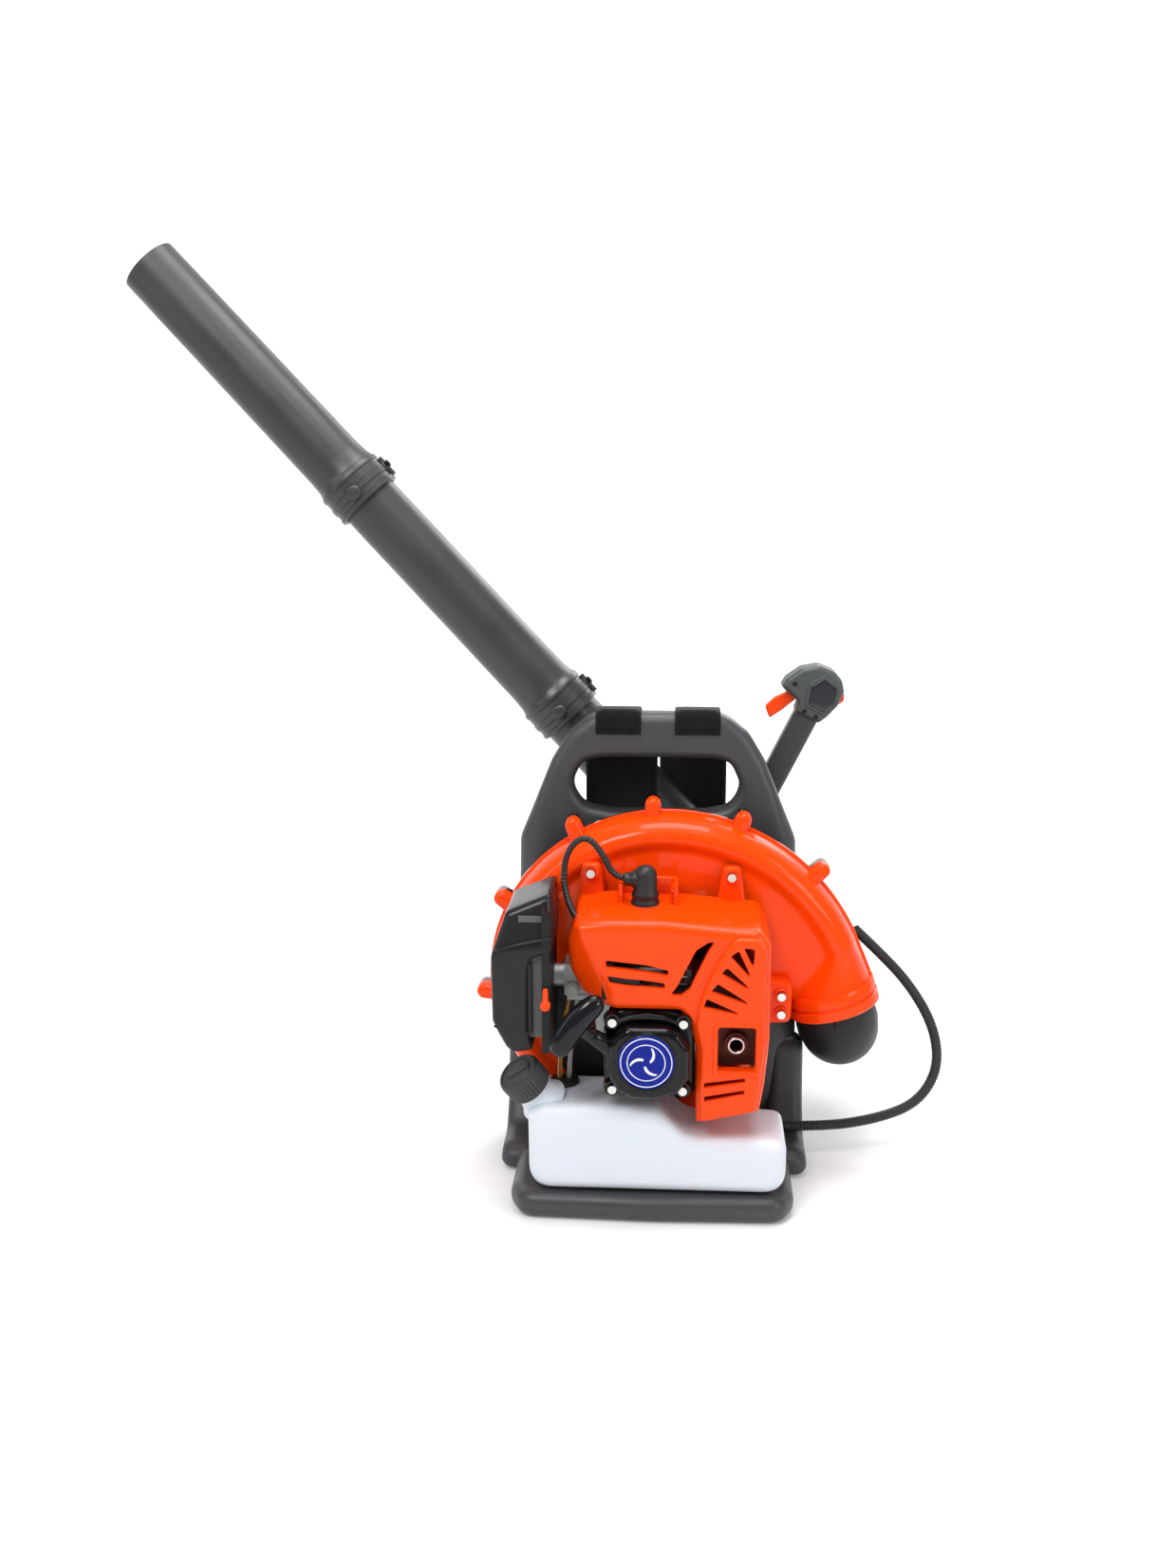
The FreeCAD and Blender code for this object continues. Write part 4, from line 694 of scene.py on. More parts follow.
def scroll_stations():
    """(inner point, outer point, share of the way from scroll to round mouth)."""
    stations = []
    for i in range(112):
        turn = 8 + (338 - 8) * i / 111
        angle = math.radians(turn)
        out = Vector((math.cos(angle), 0, -math.sin(angle)))
        stations.append((CRANK + out * 106, CRANK + out * spiral_radius(turn), 0.0))
    a0, b0 = stations[-1][0], stations[-1][1]
    a1, b1 = MOUTH - MOUTH_SIDE * MOUTH_RADIUS, MOUTH + MOUTH_SIDE * MOUTH_RADIUS
    head_a, head_b = Vector((0.32, 0, -0.95)) * 30, Vector((0.34, 0, -0.94)) * 42
    for i in range(1, 19):
        t = i / 18
        blend = (2 * t ** 3 - 3 * t ** 2 + 1, t ** 3 - 2 * t ** 2 + t, -2 * t ** 3 + 3 * t ** 2,
            t ** 3 - t ** 2)
        a = a0 * blend[0] + head_a * blend[1] + a1 * blend[2] + DOWN * 30 * blend[3]
        b = b0 * blend[0] + head_b * blend[1] + b1 * blend[2] + DOWN * 42 * blend[3]
        stations.append((a, b, t))
    return stations


def section_height(e):
    """The shell's height as a share of its depth, by the distance in from the rim."""
    if e < 24:
        return (1 - ((24 - e) / 24) ** 2.5) ** (1 / 2.1)
    if e < 38:
        return 1 - 0.19 * ease((e - 24) / 14)
    return 0.81


def scroll_skin(name, sign, depth, mat):
    """One half of the scroll: a flat inner plate, a step up to the bulge and the rim."""
    marks = [24 * (1 - math.cos(math.pi / 2 * j / 12)) for j in range(13)]
    marks += [26, 28.5, 31, 33.5, 36, 38, 42]
    rows = []
    for a, b, t in scroll_stations():
        k = ease(t)
        full = depth * (1 - k) + MOUTH_RADIUS * k
        span = (b - a).length
        spots = marks + [42 + (span - 42) * j / 5 for j in range(1, 6)]
        row = []
        for j, e in enumerate(spots):
            if span < 60:
                e *= span / spots[-1] if spots[-1] > 0 else 1
            u = j / (len(spots) - 1)
            theta = math.pi * u
            s = 1 - e / span
            h = section_height(e)
            s = s * (1 - k) + (0.5 + 0.5 * math.cos(theta)) * k
            h = h * (1 - k) + math.sin(theta) * k
            row.append(a.lerp(b, s) + Vector((0, sign * h * full, 0)))
        rows.append(row[::-1])
    return grid(name, rows, mat, sharp=50, flip=sign > 0)


def rim(name, sign, mat):
    """The raised lip that runs round the parting line."""
    rows = []
    for a, b, t in scroll_stations():
        if t > 0.85:
            break
        out = (b - a).normalized()
        rows.append([b - out * 2 + Vector((0, sign * 4.5, 0)), b + out * 1.6
            + Vector((0, sign * 4.2, 0)), b + out * 2.6 + Vector((0, sign * 3.2, 0)),
            b + out * 2.6 + Vector((0, sign * 0.2, 0)), b - out * 3 + Vector((0, sign * 0.2, 0))])
    return grid(name, rows, mat, sharp=30, flip=sign > 0)


def lug(name, x, z, sign, mat):
    """A screw boss on the parting line, with a foot that runs into the shell."""
    toward = (CRANK - Vector((x, 0, z))).normalized()
    across = Vector((-toward.z, 0, toward.x))
    rows = []
    for y, grow in ((0.2, 0.4), (12, 0.4), (15, -0.6), (16.6, -2.2), (17.2, -4.2)):
        row = []
        for k in range(13):
            angle = math.pi / 2 + math.pi * k / 12
            row.append(Vector((x, sign * y, z)) + (toward * math.cos(angle)
                + across * math.sin(angle)) * (8.0 + grow))
        row.append(Vector((x, sign * y, z)) + toward * 24 - across * (9 + grow))
        row.append(Vector((x, sign * y, z)) + toward * 24 + across * (9 + grow))
        rows.append(row)
    return grid(name, rows, mat, around=True, caps=True, sharp=50, flip=sign < 0)


def make_fan_housing():
    pieces = [scroll_skin("scroll_front", -1, 40, ORANGE), rim("rim_front", -1, ORANGE)]
    pieces += [lug("lug", x, z, -1, ORANGE) for x, z in LUGS]
    plate = [(0.5, -36), (40, -36), (70, -33), (96, -31.5), (108, -32.2), (108, -29), (40, -30),
        (0.5, -30)]
    pieces.append(lathe("front_plate", [(r, -y) for r, y in plate], CRANK, (0, -1, 0), ORANGE, 96))
    collar = [(44.2, -16), (48, -16), (49.5, -13), (49.5, -3.5), (48, -2.5), (48, -0.5),
        (50.5, 0.5), (50.5, 10), (49, 11.5), (44.2, 11.5)]
    pieces.append(lathe("outlet_collar", collar, MOUTH, DOWN, ORANGE, 72))
    for x, z in ((135, 218), (135, 198)):
        pieces.append(lathe("boss", [(0.2, 0), (8.5, 0), (8.5, 19), (7.5, 20), (0.2, 20)],
            (x, -21, z), (0, -1, 0), ORANGE, 32))
    finish("fan_housing_front", pieces, "blower", "orange_plastic")
    pieces = [scroll_skin("scroll_rear", 1, 36, GLOSS), rim("rim_rear", 1, GLOSS)]
    pieces += [lug("lug", x, z, 1, GLOSS) for x, z in LUGS]
    wall = [(78, 22), (81, 22), (84, 30), (96, 32), (107, 29), (107, 26), (96, 28), (84, 27), (78, 26)]
    pieces.append(lathe("rear_wall", wall, CRANK, (0, 1, 0), GLOSS, 96))
    for radius in (20, 34, 48, 62, 76):
        ring = [(radius - 1.2, 30), (radius + 1.2, 30), (radius + 1.2, 34), (radius, 35),
            (radius - 1.2, 34)]
        pieces.append(lathe("guard_ring", ring, CRANK, (0, 1, 0), BLACK, 72))
    for i in range(6):
        angle = math.pi * i / 6
        out = Vector((math.cos(angle), 0, math.sin(angle)))
        line = [CRANK + Vector((0, 32, 0)) + out * r for r in range(-80, 81, 10)]
        pieces.append(pipe("guard_bar", line, 1.7, BLACK, 8))
    finish("fan_housing_rear", pieces, "blower", "black_plastic")


# ------------------------------------------------------------------ tubes

def tube_line():
    angle = math.radians(47)
    direction = Vector((-math.cos(angle), 0, math.sin(angle)))
    start = Vector((206.5, 75, 151.04))
    return start, direction, start + Vector((0, BELLOWS_BEND, 0)) + direction * BELLOWS_BEND


def make_air_path():
    start, direction, end = tube_line()
    out = direction.cross(Vector((0, 1, 0))) * -1
    elbow_line = []
    for i in range(21):
        angle = math.pi / 2 * i / 20
        elbow_line.append(MOUTH + DOWN * ELBOW_BEND * math.sin(angle)
            + Vector((0, ELBOW_BEND * (1 - math.cos(angle)), 0)))
    elbow_line += [elbow_line[-1] + Vector((0, s, 0)) for s in (4, 5, 10, 18, 24)]
    # The elbow and its tab take the tube grey darkened as painted shade.
    elbow = pipe("elbow_tube", elbow_line, 44, TUBE_PAINTED_SHADE, 56, rib=lambda d: 44 if d < 84 else 46.4,
        sharp=40)
    tab = moulding("elbow_tab", [(193, 177, 2), (205, 177, 2), (205, 190, 2), (193, 190, 2)], -38,
        -46.5, TUBE_PAINTED_SHADE, edge=1.2, back="same", gap=6, steps=4)
    finish("elbow", [elbow, tab], "blower", "tube_plastic")
    line = []
    for i in range(161):
        angle = math.pi / 2 * i / 160
        line.append(start + Vector((0, BELLOWS_BEND * math.sin(angle), 0))
            + direction * (BELLOWS_BEND * (1 - math.cos(angle))))
    ribs = 11

    def bellow(distance):
        share = distance / (BELLOWS_BEND * math.pi / 2)
        if share < 0.07 or share > 0.93:
            return 45.3
        return 42.3 + 3.0 * math.cos(2 * math.pi * ribs * (share - 0.07) / 0.86)

    bellows = pipe("bellows_looks", line, 43, RUBBER, 56, rib=bellow, sharp=70)
    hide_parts("bellows")
    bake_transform(bellows)
    cuff = [(39, 0), (44.5, 0), (45.5, 1.5), (45.5, 6), (43, 8), (43, 12), (44.2, 13), (44.2, 17),
        (43, 18), (43, 32), (42, 34), (38.6, 34), (38.6, 2)]
    own(lathe("bellows_cuff_looks", cuff, end, direction, TUBE, 72), "hose_end", "tube_plastic",
        "bellows_cuff")
    swivel = [(33, 12), (37.6, 12), (37.6, 40), (36, 46), (35, 52), (35, 402), (33, 402)]
    own(lathe("swivel_tube_looks", swivel, end, direction, TUBE, 72), "tube", "tube_plastic",
        "swivel_tube")
    for name, body, base, far, radius, mouth in (("mid_tube", "mid", 379, 739, 34.2, 32.2),
            ("nozzle_tube", "nozzle", 715, 1070, 33.5, 31.5)):
        profile = [(35.4, base), (39.5, base), (40.5, base + 1.2), (40.5, base + 5),
            (39.3, base + 6), (39.3, base + 12), (40.6, base + 13), (40.6, base + 20),
            (39.4, base + 21), (39.2, base + 30), (40.3, base + 31), (40.3, base + 35),
            (38, base + 38), (36.4, base + 44), (35.4, base + 60), (radius + 0.3, far - 40),
            (radius, far - 0.8), (radius - 0.8, far), (mouth, far), (mouth, far - 62),
            (33.6, base + 40)]
        tube = lathe(name + "_skin", profile, end, direction, TUBE, 84)
        spot = end + direction * (base + 17)
        boss = lathe("boss", [(0.2, -3), (7, -3), (7, 3.2), (6, 4), (0.2, 4)], spot + out * 38, out,
            TUBE, 32)
        head = lathe("screw", [(0.2, 0), (4.4, 0), (4.4, 4.5), (3.8, 5.2), (2.2, 5.2), (2.2, 3.4),
            (0.2, 3.4)], spot + out * 41.5, out, GLOSS, 6, sharp=20)
        button = lathe("button", [(0.2, 0), (8.2, 0), (8.2, 3.0), (7.0, 4.4), (5.5, 4.8),
            (0.2, 5.0)], spot + Vector((0, -39, 0)) + direction * -2, (0, -1, 0), TUBE, 40)
        strip = pipe("latch", [spot + out * 41 + direction * s for s in (-14, -13, -6, 2, 10, 11)],
            3.4, TUBE, 16, flat=0.7)
        piece = joined(name + "_looks", [tube, boss, head, button, strip])
        own(piece, body, "tube_plastic", name)


# ------------------------------------------------------------------ straps and pad

def crease_wave(x, s):
    return 0.8 * math.sin(x * 0.21 + s * 0.05) + 0.5 * math.sin(s * 0.16 + x * 0.07)


def soft_band(name, path, left, wide, thick, mat, stitch=0.0, gap=4.0, soft=0.45, wave=0.0):
    """A flat strap or pad along a path of (y, z) points."""
    line = evenly([Vector((0, y, z)) for y, z in smooth_path(path)], gap)
    rows = []
    middle = left + wide / 2
    sides = 44
    for i, spot in enumerate(line):
        ahead = (line[min(i + 1, len(line) - 1)] - line[max(i - 1, 0)]).normalized()
        normal = Vector((0, -ahead.z, ahead.y))
        end = min(i, len(line) - 1 - i) * gap
        taper = min(1.0, 0.35 + 0.65 * math.sqrt(min(1, end / max(1.0, thick))))
        row = []
        for k in range(sides):
            a = 2 * math.pi * k / sides
            u = math.copysign(abs(math.cos(a)) ** 0.32, math.cos(a))
            v = math.copysign(abs(math.sin(a)) ** soft, math.sin(a))
            x = u * wide / 2 * (0.97 + 0.03 * taper)
            edge = wide / 2 - abs(x)
            dent = stitch * math.exp(-((edge - 8) / 1.6) ** 2) if stitch else 0
            quilt = stitch * 0.5 * (1 + math.cos(2 * math.pi * i * gap / 52)) ** 6 / 64 if stitch else 0
            height = (thick / 2 * taper - dent - quilt) * v
            row.append(spot + normal * (height + wave * crease_wave(x, i * gap))
                + Vector((middle + x, 0, 0)))
        rows.append(row)
    return grid(name, rows, mat, around=True, caps=True, sharp=60)


def smooth_path(points):
    """(y, z) points along straight runs joined by soft corners."""
    out = [Vector(points[0])]
    for before, here, after in zip(points, points[1:], points[2:]):
        a, b, c = Vector(before), Vector(here), Vector(after)
        reach = min(18.0, 0.45 * (b - a).length, 0.45 * (c - b).length)
        first, last = b + (a - b).normalized() * reach, b + (c - b).normalized() * reach
        out += [first.lerp(b, t).lerp(b.lerp(last, t), t) for t in (0, 0.2, 0.4, 0.6, 0.8, 1.0)]
    out.append(Vector(points[-1]))
    return [(p.x, p.y) for p in out]


def make_carrying():
    outline = [(-100, 118, 34), (100, 118, 34), (114, 160, 40), (114, 330, 40), (92, 368, 40),
        (-92, 368, 40), (-114, 330, 40), (-114, 160, 40)]

    def puff(p):
        if p.y > 96:
            p.y -= 2.6 * max(0, math.cos(p.x * 2 * math.pi / 74)) ** 10
            p.y -= 2.2 * max(0, math.cos((p.z - 243) * 2 * math.pi / 84)) ** 14
        return p

    pad = moulding("back_pad_looks", outline, 90, 105, FOAM, edge=6.5, back="same", gap=6,
        bend=puff)
    own(pad, "blower", "foam", "back_pad")
    for name, left, wide, inset, hang, path in (("left", -83, 82, -65, 107.5,
            [(91.5, 487), (107.5, 468), (107.5, 190)]), ("right", 0, 80, 22, 195.5,
            [(95.5, 487), (149.5, 480), (195.5, 440), (195.5, 190)])):
        pad = soft_band("pad", path, left, wide, 10, FOAM, stitch=1.6)
        over = [(48.6, 480), (48.6, 505.2), (91.6, 505.2), (94.5, 485)]
        flap = soft_band("flap", over, inset - 4, 50, 2.2, WEB, gap=2.5, soft=0.8, wave=0.12)
        tab = [(46.6, 487), (46.6, 501), (48.6, 507.4), (70, 507.4)]
        over_flap = soft_band("tab", tab, inset + 2, 38, 1.6, WEB, gap=2.5, soft=0.8)
        tail = [(hang, 192), (hang, 120), (89.4, 74), (89.4, 47)]
        lower = soft_band("tail", tail, inset + 7, 26, 1.8, WEB, soft=0.8)
        strap = joined("shoulder_strap_%s_looks" % name, [pad, flap, over_flap, lower])
        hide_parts("shoulder_strap_" + name)
        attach(strap, "blower")
        if name == "right":
            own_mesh(strap)
    parts = []
    for inset, low_y in ((-65, 107.5), (22, 195.5)):
        outer = [(inset + 3, 138, 3), (inset + 37, 138, 3), (inset + 37, 162, 3), (inset + 3, 162, 3)]
        slots = [[(inset + 8, z, 1.5), (inset + 32, z, 1.5), (inset + 32, z + 4, 1.5),
            (inset + 8, z + 4, 1.5)] for z in (143, 153)]
        parts.append(moulding("buckle", outer, low_y + 4, low_y - 4, BLACK, edge=1.8,
            holes=[(rounded_loop(s, 3), 0.8, None) for s in slots], back="same", gap=4, steps=4))
    finish("strap_buckles", parts, "blower", "black_plastic")


# ------------------------------------------------------------------ engine cover

COVER_BOLTS = [(-68, 350), (80, 348), (135, 218), (135, 198)]


def cover_bend(p):
    """Slopes the cover's top and draws back its left corner."""
    if p.z > 285:
        p.z += (p.y + 140) / 92 * 7 * ease((p.z - 285) / 30)
    if p.z > 255:
        crease = -46 - (p.z - 255) * 0.465
    else:
        crease = -38 - (p.z - 229) * 0.31
    if p.x < crease:
        p.y += (crease - p.x) * 0.72 * max(0, min(1, (-48 - p.y) / 92))
    return p


def round_off(loop, radius):
    """A loop of plain corners, all rounded to one radius."""
    return rounded_loop([(x, z, radius) for x, z in loop], 4)


def make_engine_cover():
    shell = [(-88, 296, 12), (-80, 319, 10), (-46, 322.5, 60), (11, 322.5, 60), (67, 317, 40),
        (107, 314, 12), (118, 300, 12), (118.5, 200, 20), (114, 150, 20), (109.5, 122, 5),
        (45, 108, 4), (43.8, 150, 6), (44, 190, 12), (38, 214, 10), (28, 230, 8), (-38, 230, 6),
        (-47, 231, 8), (-73, 241, 12), (-86, 264, 16)]
    panel = [(82, 309.5, 8), (106, 308.5, 8), (113.5, 298, 8), (114, 200, 20), (109, 150, 20),
        (104.5, 125, 5), (49, 112.5, 4), (48, 150, 6), (48.5, 190, 10), (43.5, 214, 10),
        (46, 238, 12), (54, 262, 14), (67, 289, 14)]
    louvres = [[(-49, 282.5), (-30, 280.5), (-8, 278.5), (15, 273), (15, 267.5), (-8, 271),
        (-30, 273.5), (-47, 275)], [(-47, 266), (-28, 263.5), (-8, 262), (11, 259.5), (12, 254),
        (-8, 255), (-28, 256.5), (-44, 259)]]
    slit = [(17, 247), (29, 247), (37, 254), (42, 266), (54, 292), (61, 304), (55, 303), (43, 295),
        (33, 275), (24, 256)]
    hollow = inset(rounded_loop(panel), 5)
    holes = [(round_off(loop, 2.5), 1.2, 7) for loop in louvres + [slit]] + [(hollow, 0, 6)]
    body = moulding("cover_shell", shell, -48, -140, ORANGE, edge=9, holes=holes, gap=5.5,
        bend=cover_bend, wall=2.4)
    fans = [[(90, 300), (101, 299), (100, 279)], [(77, 291), (85, 297), (99, 267)],
        [(68, 273), (74, 279), (101, 254)], [(58, 254), (65, 262), (101, 239)],
        [(51, 237), (54, 246), (92, 229)]]
    lower = [[(52, 156), (94, 162), (94, 158), (52, 150.5)], [(52, 141), (93, 149), (94, 145),
        (52, 135.5)]]
    window = [(66, 169), (104, 169), (104, 216), (66, 216)]
    panel_holes = [(round_off(loop, 1.6), 0.9, 6) for loop in fans + lower]
    panel_holes.append((round_off(window, 4), 1.5, 14))
    raised = moulding("cover_panel", panel, -135, -146, ORANGE, edge=4.5, holes=panel_holes, gap=5)
    rim = moulding("window_rim", round_off([(61, 164), (109, 164), (109, 221), (61, 221)], 5), -144,
        -147.6, ORANGE, edge=1.6, holes=[(round_off([(65, 168), (105, 168), (105, 217), (65, 217)],
        4), 1.2, 4)], gap=5)
    pieces = [body, raised, rim]
    for x, z in COVER_BOLTS[:2]:
        ear = [(x - 15, 316, 2), (x + 15, 316, 2), (x + 11, z, 2), (x + 9, z + 9, 9),
            (x - 9, z + 9, 9), (x - 11, z, 2)]
        pieces.append(moulding("ear", ear, -38, -50, ORANGE, edge=3.5, gap=4, steps=6))
        pieces.append(lathe("pad", [(0.2, 0), (8.6, 0), (8.6, 3.4), (7.8, 4.2), (6, 4.4),
            (5.4, 3.6), (0.2, 3.6)], (x, -49.5, z), (0, -1, 0), ORANGE, 32))
    side = [(108, 184, 4), (146, 186, 9), (147, 230, 9), (110, 236, 4)]
    pieces.append(moulding("ear", side, -30, -50, ORANGE, edge=5, gap=5))
    for x, z in COVER_BOLTS[2:]:
        pieces.append(lathe("pad", [(0.2, 0), (7.6, 0), (7.6, 3.2), (6.8, 4.2), (5.6, 4.2),
            (5.2, 3.6), (0.2, 3.6)], (x, -49.5, z), (0, -1, 0), ORANGE, 32))
    well = [(-38, -84, 3), (-38, -48, 4), (24, -48, 4), (24, -84, 3), (19, -84, 2), (19, -54, 3),
        (-33, -54, 3), (-33, -84, 2)]
    pieces.append(moulding("plug_well", well, 316, 347, ORANGE, edge=1.8, plane="XY", gap=5, steps=4))
    for z in (330, 335, 340):
        pieces.append(pipe("fin", [Vector((18, y, z)) for y in (-83, -76, -69, -62, -56)], 1.2,
            ORANGE, 8))
    finish("engine_cover", pieces, "blower", "orange_plastic")
    ring = [(6.4, 0), (8.2, 0), (9.2, 0.6), (9.2, 2), (8.2, 2.8), (7.2, 2.8), (6.4, 2)]
    exhaust = lathe("exhaust_ring", ring, (85, -128, 191), (0, -1, 0), STEEL, 40)
    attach(exhaust, "blower")


def make_plug_and_lead():
    body = [(0.2, -1), (12.5, -1), (14.6, 0), (14.8, 4), (13.4, 6), (13.4, 8.5), (14.2, 10),
        (14.0, 13), (12.2, 16), (12, 32), (11.2, 36), (8.6, 39.6), (4.5, 41.6), (0.2, 42)]
    cap = lathe("cap_body", body, (-10, -82, 325), (0, 0, 1), RUBBER, 40)
    stub = lathe("cap_arm", [(0.2, 0), (9.4, 0), (9.4, 10), (8.2, 12), (7.0, 14), (7.0, 19),
        (5.6, 20.4), (0.2, 20.4)], (-12, -82, 352), (-1, 0, 0), RUBBER, 32)
    finish("spark_plug_cap", [cap, stub], "blower", "rubber")
    route = [(-22, -82, 352), (-42, -82, 352), (-54, -80, 378), (-72, -78, 398), (-92, -76, 380),
        (-96, -76, 346), (-84, -98, 316), (-58, -126, 304), (-46, -128, 284), (-46, -128, 268)]
    line = evenly(smooth_line(route), 1.0)
    lead = pipe("ignition_lead_looks", line, 3.5, RUBBER, 14, rib=lambda d: 3.35
        + 0.35 * math.cos(2 * math.pi * d / 4.2), sharp=80)
    own(lead, "blower", "rubber", "ignition_lead")


# ------------------------------------------------------------------ air cleaner

def make_air_cleaner():
    outline = [(-163, 218, 16), (-164, 286, 20), (-149, 331, 10), (-104, 349, 4), (-101, 320, 4),
        (-102, 293, 4), (-123, 284, 6), (-126, 272, 6), (-126, 206, 4), (-122, 186, 4),
        (-146, 181, 18)]

    def facet(p):
        if p.y < -60:
            lean = max(0, (p.z - 296) / 52)
            p.y += lean * 16 * (-58 - p.y) / 90
            lean = max(0, (205 - p.z) / 24)
            p.y += lean * 6 * (-58 - p.y) / 90
        return p

    body = moulding("cleaner_body", outline, -58, -149, CLEANER, edge=6.5, back="flat", gap=6,
        bend=facet)
    inner = [(-128, 206, 3), (-112, 206, 3), (-112, 284, 3), (-128, 284, 3)]
    side = moulding("cleaner_side", inner, -58, -136, BLACK, edge=3, back="flat", gap=6)
    trim = moulding("cleaner_trim", [(-127, 205, 3), (-122, 205, 3), (-122, 280, 3),
        (-127, 280, 3)], -70, -146, CLEANER, edge=2, back="flat", gap=6)
    ridge = pipe("cleaner_ridge", [Vector(p) for p in ((-159, -148, 293.5), (-150, -149.6, 297),
        (-135, -149.6, 301), (-118, -149.4, 304.6), (-103, -148, 307))], 1.5, CLEANER, 10)
    lower = pipe("cleaner_line", [Vector(p) for p in ((-161, -146, 213), (-150, -148.6, 208),
        (-135, -148.8, 206), (-124, -148, 206))], 1.1, CLEANER, 10)
    dish = lathe("cleaner_dish", [(13.5, 4), (13.5, -8), (15, -9.5), (17.5, -9), (19.5, -6),
        (19.5, 4)], (-155, -102, 252), (1, 0, 0), CLEANER, 40)
    finish("air_filter_cover", [body, side, trim, ridge, lower, dish], "blower", "dark_gloss")
    knob = [(0.2, 0), (9.5, 0), (11, 1), (11, 5.5), (9.8, 7), (2.9, 7), (2.9, 14), (0.2, 14)]
    turn = lathe("knob_body", knob, (-163, -102, 252), (1, 0, 0), BLACK, 72, ripple=lambda a, r,
        h: r - 0.7 * max(0, math.cos(18 * a)) if r > 9 else r)
    wing = moulding("knob_wing", [(-113, 249.5, 2), (-91, 249.5, 2), (-91, 254.5, 2),
        (-113, 254.5, 2)], -161, -163.8, BLACK, edge=1, plane="YZ", back="same", gap=4)
    finish("filter_knob", [turn, wing], "filter_screw", "black_plastic")
    lever = [(-111.5, 233, 3), (-104.5, 233, 3), (-105.5, 256, 3), (-110.5, 256, 3)]
    arm = moulding("lever_arm", lever, -150, -154, ORANGE, edge=1.4, back="same", gap=4)
    hub = lathe("lever_hub", [(0.2, 0), (5.2, 0), (5.2, 4.8), (4.2, 5.6), (0.2, 5.6)],
        (-108, -150, 238), (0, -1, 0), ORANGE, 28)
    pivot = lathe("lever_pivot", [(0.2, 0), (2, 0), (2, 6), (0.2, 6)], (-108, -150, 238), (0, 1, 0),
        ORANGE, 16)
    finish("choke_lever", [arm, hub, pivot], "choke", "orange_plastic")


# ------------------------------------------------------------------ starter

PULL = Vector((-0.70, -0.36, 0.615)).normalized()
ROOT = Vector((-52, -149, 200))


